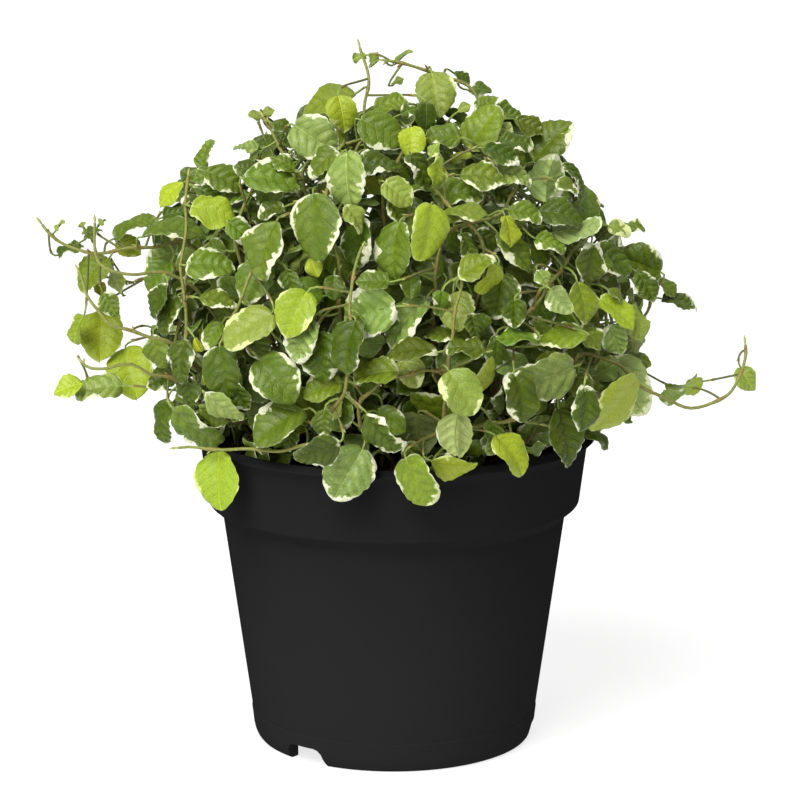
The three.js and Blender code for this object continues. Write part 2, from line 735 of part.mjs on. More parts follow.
// Whether a leaf is clear of the pot, the stems and the leaves set before it
function leafClear(leaf, pieces, stems, leaves) {
  for (const [p, q] of pieces) {
    if (!clearOfPot(p) || !clearOfPot(p.clone().lerp(q, 0.5))) {
      return false;
    }
  }
  const reach = leaf.length / 2 + 3;
  for (const stem of stems) {
    for (let i = 0; i + 1 < stem.length; i += 1) {
      const gap = stem[i].distanceTo(leaf.middle);
      if (gap < reach + INNER_STEP + 2 && pieceHitsBlade(stem[i], stem[i + 1], leaf, STEM_SLAB)) {
        return false;
      }
    }
  }
  for (const other of leaves) {
    const gap = other.leaf.middle.distanceTo(leaf.middle);
    if (gap < reach + other.leaf.length / 2 + 4) {
      if (pieces.some(([p, q]) => pieceHitsBlade(p, q, other.leaf, BLADE_SLAB))) {
        return false;
      }
      if (other.pieces.some(([p, q]) => pieceHitsBlade(p, q, leaf, BLADE_SLAB))) {
        return false;
      }
    }
    if (other.stalk && gap < reach + 26) {
      if (pieceHitsBlade(other.stalk[0], other.stalk[1], leaf, STEM_SLAB)) {
        return false;
      }
    }
  }
  return true;
}

// Whether a stalk from a stem to a leaf keeps clear of everything else
function stalkClear(foot, stemIndex, leaf, stems, leaves) {
  const from = foot.clone().lerp(leaf.elbow, 0.12);
  for (let s = 0; s < stems.length; s += 1) {
    if (s !== stemIndex) {
      for (let i = 0; i + 1 < stems[s].length; i += 1) {
        if (pieceGap(foot, leaf.elbow, stems[s][i], stems[s][i + 1]) < STALK_GAP) {
          return false;
        }
      }
    }
  }
  for (const other of leaves) {
    if (other.leaf.middle.distanceTo(leaf.elbow) < 40) {
      if (pieceHitsBlade(from, leaf.elbow, other.leaf, STEM_SLAB)) {
        return false;
      }
      const room = other.stem === stemIndex ? FOOT_GAP : STALK_GAP;
      if (pieceGap(foot, leaf.elbow, other.stalk[0], other.stalk[1]) < room) {
        return false;
      }
    }
  }
  for (let i = 1; i <= 3; i += 1) {
    if (!clearOfPot(foot.clone().lerp(leaf.elbow, i / 4))) {
      return false;
    }
  }
  return true;
}

// Places on the stems where a leaf's stalk can start, the best first
function stemFeet(stems, leaf, reach) {
  const feet = [];
  stems.forEach((stem, index) => {
    for (let i = 2; i < stem.length; i += 1) {
      for (const share of [0.25, 0.5, 0.75, 0.97]) {
        const foot = stem[i - 1].clone().lerp(stem[i], share);
        const off = foot.clone().sub(leaf.elbow);
        const far = off.length();
        if (far > 1.6 && far < reach) {
          const ahead = Math.max(0, off.dot(leaf.way));
          feet.push({ foot, index, cost: far + 1.2 * ahead });
        }
      }
    }
  });
  return feet.sort((a, b) => a.cost - b.cost).slice(0, 14);
}

// A leaf from how it is seen: turned about its length or tipped so that its true shape fits
function seenLeaf([right, up, long, wide, heading, kind], deep) {
  const middle = seenPoint([right, up, deep]);
  const turn = (heading * Math.PI) / 180;
  const flat = SEEN_RIGHT.clone().multiplyScalar(Math.cos(turn));
  flat.addScaledVector(SEEN_UP, Math.sin(turn));
  const side = SEEN_RIGHT.clone().multiplyScalar(-Math.sin(turn));
  side.addScaledVector(SEEN_UP, Math.cos(turn));
  const out = wayOut(middle);
  const share = wide / (WIDTH_SHARE * long);
  let way = flat;
  let upper;
  let length = long;
  let width = WIDTH_SHARE * long;
  if (share < 1) {
    const roll = Math.min(1.25, Math.acos(share));
    const sign = side.dot(out) < 0 ? -1 : 1;
    upper = TO_EYE.clone().multiplyScalar(Math.cos(roll));
    upper.addScaledVector(side, sign * Math.sin(roll));
  } else {
    width = wide;
    length = wide / WIDTH_SHARE;
    const tip = Math.min(1, Math.acos(long / length));
    const sign = flat.dot(out) < 0 ? -1 : 1;
    upper = TO_EYE.clone().multiplyScalar(Math.cos(tip));
    upper.addScaledVector(flat, sign * Math.sin(tip));
    way = flat.clone().multiplyScalar(Math.cos(tip));
    way.addScaledVector(TO_EYE, -sign * Math.sin(tip));
  }
  if (kind === "P") {
    upper.negate();
  }
  return leafAt(middle, way, upper, length, width, null);
}

// Set one leaf on the first stem that it can reach without a clash
function setLeaf(leaf, stems, leaves, reach) {
  const pieces = leafPieces(leaf);
  if (!leafClear(leaf, pieces, stems, leaves)) {
    return false;
  }
  for (const { foot, index } of stemFeet(stems, leaf, reach)) {
    if (stalkClear(foot, index, leaf, stems, leaves)) {
      leaves.push({ leaf, pieces, stem: index, stalk: [foot, leaf.elbow] });
      return true;
    }
  }
  return false;
}

// The leaves that show, each at the first free depth behind those in front of it
const DEPTH_TRIES = [0, 2, -2, 4, -4, 6, -6, 8, 10, -8, 12, 14, -10, 16, 18, 20, -12, -14];
function setSeenLeaves(stems, leaves) {
  const missed = [];
  SEEN_LEAVES.forEach((row) => {
    const [right, up] = row;
    const base = faceDepth(right, up) + (row[6] ?? 0);
    const done = [20, 30].some((reach) =>
      DEPTH_TRIES.some((push) => setLeaf(seenLeaf(row, base + push), stems, leaves, reach)),
    );
    if (!done) {
      missed.push(row);
    }
  });
  return missed;
}

// Leaves that fill the back and the sides, in turn to each side along every stem
const FILL_SHARES = [0.15, 0.6];
const FILL_TRIES = 5;
const FILL_LENGTH = [10, 17];
const FILL_TILT = 1.3;
function setFillLeaves(stems, leaves) {
  const draw = dice(90121);
  let side = 1;
  for (const stem of stems) {
    for (let i = 3; i < stem.length; i += 1) {
      for (const share of FILL_SHARES) {
        side = -side;
        const foot = stem[i - 1].clone().lerp(stem[i], share);
        for (let tries = 0; tries < FILL_TRIES; tries += 1) {
          const leaf = fillLeaf(foot, stem[i].clone().sub(stem[i - 1]), side, draw);
          if (behindFace(leaf) && setLeaf(leaf, stems, leaves, 16)) {
            break;
          }
        }
      }
    }
  }
}

// One leaf beside a stem, facing out of the bush, its tip outwards and down
function fillLeaf(foot, along, side, draw) {
  const out = wayOut(foot);
  const tangent = along.normalize();
  const across = out.clone().cross(tangent).normalize();
  const way = tangent
    .multiplyScalar(0.2 + 0.6 * draw())
    .addScaledVector(across, side * (0.5 + 0.6 * draw()))
    .addScaledVector(v3(0, 0, -1), 0.2 + 0.5 * draw())
    .addScaledVector(out, 0.1 + 0.3 * draw())
    .normalize();
  const tilt = v3(draw() - 0.5, draw() - 0.5, draw() - 0.5).multiplyScalar(FILL_TILT);
  const upper = out.clone().add(tilt);
  upper.addScaledVector(way, -upper.dot(way)).normalize();
  const length = FILL_LENGTH[0] + (FILL_LENGTH[1] - FILL_LENGTH[0]) * draw();
  const middle = foot
    .clone()
    .addScaledVector(out, 3 + 6 * draw())
    .addScaledVector(way, 3 + STALK_BACK + length / 2);
  return leafAt(middle, way, upper, length, WIDTH_SHARE * length, null);
}

// Whether a filling leaf keeps behind those that show, and inside the outline of the front
const BEHIND = 8;
const BACK_HALF = [74, 71];
const BACK_REACH = 1.07;
const SIDEWAYS = 0.45;
function behindFace(leaf) {
  const [right, up, deep] = seenFrom(leaf.middle);
  const faces = wayOut(leaf.middle);
  const turned = Math.abs(faces.x) > SIDEWAYS || deep > BEHIND;
  if (!turned || deep < faceDepth(right, up) + BEHIND) {
    return false;
  }
  const tips = [bladePoint(leaf, 1, 0), bladePoint(leaf, 0.4, 0.5), bladePoint(leaf, 0.4, -0.5)];
  return tips.every((tip) => {
    const [aside, over] = seenFrom(tip);
    const a = (aside - FACE_MID[0]) / BACK_HALF[0];
    const b = (over - FACE_MID[1]) / BACK_HALF[1];
    const x = tip.x / DOME_X;
    const y = tip.y / DOME_Y;
    const z = (tip.z - DOME_Z) / DOME_UP;
    return a * a + b * b < 1 && x * x + y * y + z * z < BACK_REACH * BACK_REACH;
  });
}

// The outline that a leaf of this length gets
function outlineFor(length) {
  if (length < SMALL_LEAF) {
    return SMALL_OUTLINE;
  }
  return length < BIG_LEAF ? MIDDLE_OUTLINE : BIG_OUTLINE;
}

// A leaf and its stalk as one thin solid: a three-cornered stalk, then a flat blade
function leafSolid({ leaf, stalk }) {
  const [foot, elbow] = stalk;
  const run = elbow.clone().sub(foot).normalize();
  const bend = run.clone().add(leaf.way).normalize();
  const rings = [
    stalkRing(foot.clone().addScaledVector(run, -0.25), run, leaf),
    stalkRing(elbow, bend, leaf),
  ];
  for (const [along, half] of outlineFor(leaf.length)) {
    const [right, left] = [bladePoint(leaf, along, -half), bladePoint(leaf, along, half)];
    rings.push([...facesOf(right, leaf), ...facesOf(left, leaf).reverse()]);
  }
  rings.push(facesOf(bladePoint(leaf, 1, 0), leaf));
  const corners = [];
  const add = (a, b, c) => corners.push(...a.toArray(), ...b.toArray(), ...c.toArray());
  const quad = (a, b, c, d) => {
    add(a, b, c);
    add(a, c, d);
  };
  const [start, root] = rings;
  add(start[0], start[2], start[1]);
  for (let k = 0; k < 3; k += 1) {
    const n = (k + 1) % 3;
    quad(start[k], start[n], root[n], root[k]);
  }
  // Blade rings run: right upper, right under, left under, left upper
  const first = rings[2];
  quad(root[2], root[0], first[0], first[3]);
  quad(root[0], root[1], first[1], first[0]);
  add(root[1], first[2], first[1]);
  quad(root[1], root[2], first[3], first[2]);
  for (let i = 2; i + 2 < rings.length; i += 1) {
    for (let k = 0; k < 4; k += 1) {
      const n = (k + 1) % 4;
      quad(rings[i][k], rings[i][n], rings[i + 1][n], rings[i + 1][k]);
    }
  }
  const last = rings[rings.length - 2];
  const [over, under] = rings[rings.length - 1];
  add(last[3], last[0], over);
  quad(last[0], last[1], under, over);
  add(last[1], last[2], under);
  quad(last[2], last[3], over, under);
  return solidOf(corners);
}

// The upper and the under point of a blade at a point of its middle plane
function facesOf(point, leaf) {
  return [1, -1].map((face) => point.clone().addScaledVector(leaf.upper, (face * BLADE) / 2));
}

// The three corners of a stalk: right, under and left
function stalkRing(point, run, leaf) {
  const across = leaf.across.clone().addScaledVector(run, -leaf.across.dot(run));
  if (across.length() < 0.3) {
    across.copy(leaf.upper).addScaledVector(run, -leaf.upper.dot(run));
  }
  across.normalize();
  const upper = run.clone().cross(across);
  const place = (aside, up) =>
    point.clone().addScaledVector(across, aside).addScaledVector(upper, up);
  return [
    place(-STALK_HALF, STALK_HALF / 2),
    place(0, -STALK_HALF),
    place(STALK_HALF, STALK_HALF / 2),
  ];
}

// Whether two solids share any space
function crosses(one, other) {
  const a = one.boundingBox();
  const b = other.boundingBox();
  for (let k = 0; k < 3; k += 1) {
    if (a.min[k] > b.max[k] || b.min[k] > a.max[k]) {
      return false;
    }
  }
  return !one.intersect(other).isEmpty();
}

// Stems with their leaves; a leaf that would cross another stem's leaf is left out
function makeVines(stems, leaves) {
  const vines = stems.map((run) => barSolid(run, STEM_RADIUS, 0.8));
  for (const set of leaves) {
    if (set.leaf.length < SMALLEST_LEAF) {
      continue;
    }
    const solid = leafSolid(set);
    if (!vines.some((vine, s) => s !== set.stem && crosses(solid, vine))) {
      vines[set.stem] = vines[set.stem].add(solid);
    }
  }
  return vines.map((vine) => vine.asOriginal().simplify(SMOOTH));
}

// Soil: a plug in the pot with a lumpy top and a plain hole for every stem
function makeSoil(stems) {
  const draw = dice(5171);
  const sides = 20;
  const inset = 2 * SOIL_GAP;
  const wall = INNER_WALL.slice(0, 3).map(([radius, z]) => [radius - inset, z + inset]);
  const edge = COLLAR_FOOT_RADIUS - POT_WALL - inset;
  const rings = [...wall, [edge, SOIL_TOP]].map(([radius, z]) => ringOf(sides, radius, () => z));
  for (const share of [0.72, 0.4]) {
    rings.push(ringOf(sides, edge * share, () => SOIL_TOP + SOIL_LUMP * (draw() * 2 - 1)));
  }
  const corners = [];
  const add = (a, b, c) => corners.push(...a.toArray(), ...b.toArray(), ...c.toArray());
  const bottom = v3(0, 0, wall[0][1]);
  const top = v3(0, 0, SOIL_TOP + 0.5);
  for (let k = 0; k < sides; k += 1) {
    const n = (k + 1) % sides;
    add(bottom, rings[0][n], rings[0][k]);
    for (let i = 0; i + 1 < rings.length; i += 1) {
      add(rings[i][k], rings[i][n], rings[i + 1][n]);
      add(rings[i][k], rings[i + 1][n], rings[i + 1][k]);
    }
    const last = rings[rings.length - 1];
    add(last[k], last[n], top);
  }
  let soil = solidOf(corners);
  for (const run of stems) {
    const hole = [run[0].clone().setZ(SOIL_TOP - HOLE_DEPTH), run[0].clone().setZ(SOIL_TOP + 5)];
    soil = soil.subtract(barSolid(hole, STEM_RADIUS + 3 * SOIL_GAP, 1));
  }
  return soil;
}

// Points round a ring, at a height that may differ from point to point
function ringOf(sides, radius, height) {
  const points = [];
  for (let k = 0; k < sides; k += 1) {
    const turn = (k / sides) * Math.PI * 2;
    points.push(v3(radius * Math.cos(turn), radius * Math.sin(turn), height()));
  }
  return points;
}

const POT_COLOUR = 0x262627;
const SOIL_COLOUR = 0x2b1b10;
const LEAF_COLOUR = 0x6f9440;

const fig = new THREE.Group();
fig.name = "potted_creeping_fig";
const stems = makeStems();
const leaves = [];
setSeenLeaves(stems, leaves);
setFillLeaves(stems, leaves);
const vines = makeVines(stems, leaves);
fig.add(meshOf("pot", makePot(), POT_COLOUR, 0.55));
fig.add(meshOf("soil", makeSoil(stems), SOIL_COLOUR, 0.95));
vines.forEach((vine, index) => {
  const name = `vine_${String(index + 1).padStart(2, "0")}`;
  fig.add(meshOf(name, vine, LEAF_COLOUR, 0.5));
});

export default fig;
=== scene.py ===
"""A creeping fig with cream-edged leaves in a black nursery pot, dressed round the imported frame.

The stems and leaves are laid out in millimetres by the same rules as the solids, so every fine
leaf falls on its solid one. Meshes are made in metres.
"""

import math

import bpy
import numpy as np
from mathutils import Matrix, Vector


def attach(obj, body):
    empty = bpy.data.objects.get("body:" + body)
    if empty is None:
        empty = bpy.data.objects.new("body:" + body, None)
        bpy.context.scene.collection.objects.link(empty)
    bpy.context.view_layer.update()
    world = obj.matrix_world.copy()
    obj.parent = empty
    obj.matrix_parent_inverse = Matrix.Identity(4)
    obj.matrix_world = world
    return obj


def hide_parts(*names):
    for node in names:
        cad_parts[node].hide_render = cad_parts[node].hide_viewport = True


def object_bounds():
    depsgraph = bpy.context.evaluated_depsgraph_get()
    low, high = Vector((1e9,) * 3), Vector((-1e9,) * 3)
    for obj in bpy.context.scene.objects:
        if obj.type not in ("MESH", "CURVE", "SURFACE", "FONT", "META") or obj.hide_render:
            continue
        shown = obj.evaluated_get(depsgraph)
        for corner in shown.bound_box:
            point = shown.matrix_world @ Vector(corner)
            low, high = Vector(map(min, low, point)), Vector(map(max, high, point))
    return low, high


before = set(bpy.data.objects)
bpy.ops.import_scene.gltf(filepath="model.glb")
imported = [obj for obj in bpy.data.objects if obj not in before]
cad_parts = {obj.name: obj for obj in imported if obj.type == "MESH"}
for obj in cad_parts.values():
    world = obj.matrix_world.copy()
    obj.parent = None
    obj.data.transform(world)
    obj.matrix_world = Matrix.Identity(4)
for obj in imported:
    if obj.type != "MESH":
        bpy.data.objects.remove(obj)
cad_low, cad_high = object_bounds()

MM = 0.001
EDGE_ROOM = 0.05
BOX_LOW = [value / MM + EDGE_ROOM for value in cad_low]
BOX_HIGH = [value / MM - EDGE_ROOM for value in cad_high]

# Sizes shared with the solids, in millimetres
POT_HEIGHT = 93
LIP_RISE = 1.5
POT_WALL = 1.5
LIP_RADIUS = 60.2
COLLAR_TOP_RADIUS = 57.6
COLLAR_FOOT_RADIUS = 55.4
BODY_TOP_RADIUS = 51.3
BODY_FOOT_RADIUS = 41.9
FLOOR_TOP = 8.0
FLOOR_UNDER = 6.4
FOOT_INNER_RADIUS = 37.6
NOTCH_WIDTH = 16
NOTCH_HEIGHT = 5.3
NOTCH_TURNS = [-130, -8, 110]
SEAM_Z = 8.8
DRAIN_RADIUS = 3.5
DRAIN_OFFSET = 24
DRAIN_TURNS = [-70, 50, 170]
SOIL_TOP = 85.5
SOIL_GAP = 0.3
HOLE_DEPTH = 9
SHOWN_STEP = 10
INNER_STEP = 15
STEM_GAP = 2.4
STEM_TRIES = 40
RING_TRIES = 60
WIDTH_SHARE = 0.85
STALK_BACK = 2
BOW = 0.05
DOME_Z = POT_HEIGHT + 26
DOME_X = 76
DOME_Y = 70
DOME_UP = 76

# The side the plant is seen from
SIGHT_DIP = math.radians(12.2)
SIGHT_REACH = 1000
SIGHT_MID = (1.8, 9.25)
SIGHT_WIDE = 238.5
SEEN_RIGHT = np.array((1.0, 0.0, 0.0))
SEEN_UP = np.array((0.0, math.sin(SIGHT_DIP), math.cos(SIGHT_DIP)))
SEEN_AWAY = np.array((0.0, math.cos(SIGHT_DIP), -math.sin(SIGHT_DIP)))
TO_EYE = -SEEN_AWAY
RIM_MID = np.array((0.0, 0.0, float(POT_HEIGHT)))
SKY = np.array((0.0, 0.0, 1.0))


def unit(vector):
    """A vector made one long."""
    return vector / math.sqrt(vector @ vector)


def dice(seed):
    """Seeded draws from 0 to 1, the same as the solids' own."""
    state = seed
    while True:
        state = state * 48271 % 2147483647
        yield state / 2147483647


def seen_point(right, up, deep):
    """A point seen right and up of the rim's middle, so deep behind the plane of the axis."""
    grow = 1 + deep / SIGHT_REACH
    aside = SIGHT_MID[0] + (right - SIGHT_MID[0]) * grow
    over = SIGHT_MID[1] + (up - SIGHT_MID[1]) * grow
    return RIM_MID + SEEN_AWAY * deep + SEEN_RIGHT * aside + SEEN_UP * over


def seen_from(point):
    """Where a point is seen: right, up and deep."""
    offset = point - RIM_MID
    deep = offset @ SEEN_AWAY
    grow = 1 + deep / SIGHT_REACH
    right = SIGHT_MID[0] + (offset @ SEEN_RIGHT - SIGHT_MID[0]) / grow
    up = SIGHT_MID[1] + (offset @ SEEN_UP - SIGHT_MID[1]) / grow
    return right, up, deep


FACE_MID = (3, 28)
FACE_HALF = (78, 76)
FACE_DEEP = 66


def face_depth(right, up):
    """How deep the front of the dome lies at a seen place."""
    a = (right - FACE_MID[0]) / FACE_HALF[0]
    b = (up - FACE_MID[1]) / FACE_HALF[1]
    return -FACE_DEEP * math.sqrt(max(0.0, 1 - a * a - b * b))


def way_out(point):
    """The way out of the dome at a point, a little upwards."""
    out = np.array(
        (
            point[0] / (DOME_X * DOME_X),
            point[1] / (DOME_Y * DOME_Y),
            (point[2] - DOME_Z) / (DOME_UP * DOME_UP),
        )
    )
    return unit(unit(out) + SKY * 0.3)


# Stems that show: the hole in the soil, then seen places (right, up, deep) out to the tip
SEEN_STEMS = [
    # trailing right, low
    ((40, -22), [(57, 23, -38), (67, 19.5, -34), (74, 13.5, -30), (81, 9.3, -27), (90, 7.2, -24),
                 (97, 8.6, -22), (102, 14.5, -20), (104.8, 21.5, -18), (104.4, 29, -17)]),
    # right, upper
    ((38, 12), [(60, 22, -20), (70, 25, -18), (72, 31, -14), (77, 40, -12), (77.4, 49, -10)]),
    # far left, upper
    ((-36, 4), [(-56, 52, -6), (-64, 56.5, -8), (-75, 54.3, -10), (-86, 54, -12),
                (-97, 53.3, -13), (-102, 60, -14), (-106.4, 63.6, -15)]),
    # second left
    ((-30, -6), [(-62, 45, -22), (-74, 47, -24), (-83.5, 47, -26), (-87.8, 50, -24),
                 (-89.4, 56, -22), (-89.2, 65, -20)]),
    # left
    ((-38, -8), [(-66, 26, -30), (-76, 29, -32), (-86, 33, -33), (-91, 40, -32),
                 (-93.5, 46, -30), (-94.8, 49.5, -29)]),
    # left, low
    ((-42, 2), [(-62, 14, -22), (-73.5, 17.5, -26), (-84, 20.3, -28), (-89.5, 18.5, -28),
                (-93.6, 17, -27), (-94.3, 22.5, -26)]),
    # over the rim, left
    ((-32, -24), [(-20, -1.5, -60), (-29, -5.2, -54), (-41, -5.6, -48), (-54, -5.2, -42),
                  (-67, -5, -36)]),
    # upright, left
    ((-26, -14), [(-60, 20, -32), (-62, 34, -34), (-63.2, 48, -32), (-62, 64, -26),
                  (-61.3, 78, -20)]),
    # top sprig
    ((-8, -6), [(-14, 72, -34), (-10, 86, -26), (-8.2, 95, -20), (-8.8, 101, -18),
                (-8, 108, -16), (-11, 117, -14)]),
    # arch at the top
    ((14, -4), [(28, 84, -12), (27, 94, -8), (24, 101, -6), (16, 105.4, -5), (8, 108.8, -5),
                (0.5, 109, -6), (-5, 110.6, -7)]),
    # top left sprig
    ((-16, 2), [(-28, 68, -30), (-31, 79, -24), (-35, 86, -18), (-38.6, 93, -14),
                (-39.8, 96, -13)]),
    # across the front, above the middle
    ((10, -18), [(13, 50, -58), (15, 58, -56), (24, 62.5, -52), (33, 66, -46), (36.5, 73, -40),
                 (38, 79, -34)]),
    # right of the middle
    ((24, -20), [(38, 34, -52), (44, 40, -50), (49, 47, -44), (53, 53, -38), (58, 58, -32)]),
    # low, over the middle of the rim
    ((2, -34), [(-11, 3, -59), (-8.5, 11, -61), (-3, 15, -62), (8, 17.5, -62), (18, 19, -61),
                (25, 21.5, -58), (27.3, 27, -56)]),
    # low right
    ((20, -36), [(14, -2, -56), (23, 1.5, -55), (30, 2.2, -53), (38, 3.2, -49),
                 (46, 1.5, -46)]),
]

# Stems inside the bush, in rings
RINGS = [
    {"count": 12, "start": 9, "soil": 41, "climb": (-10, 36), "drift": 12, "under": 0.87,
     "lift": 14},
    {"count": 8, "start": 28, "soil": 24, "climb": (34, 62), "drift": -16, "under": 0.86,
     "lift": 6},
    {"count": 5, "start": 50, "soil": 13, "climb": (62, 83), "drift": 34, "under": 0.87,
     "lift": 6},
]

# Sprigs that stand out at the back and the sides: the hole, then turns, rises and shares
BACK_SPRIGS = [
    ((16, 36), [(72, -6, 0.78), (80, 10, 0.88), (92, 20, 0.97), (102, 24, 1.03), (110, 22, 1.08)]),
    ((-16, 30), [(112, 24, 0.74), (118, 38, 0.9), (124, 43, 1.0), (130, 41, 1.08)]),
    ((30, 30), [(50, -8, 0.84), (54, -14, 0.98), (60, -18, 1.08), (67, -20, 1.17)]),
    ((-32, 26), [(136, -4, 0.82), (142, 6, 0.96), (150, 10, 1.08), (157, 8, 1.18)]),
    ((30, 8), [(26, 30, 0.78), (30, 40, 0.92), (36, 45, 1.02), (44, 42, 1.09)]),
]
WEAVE = 10

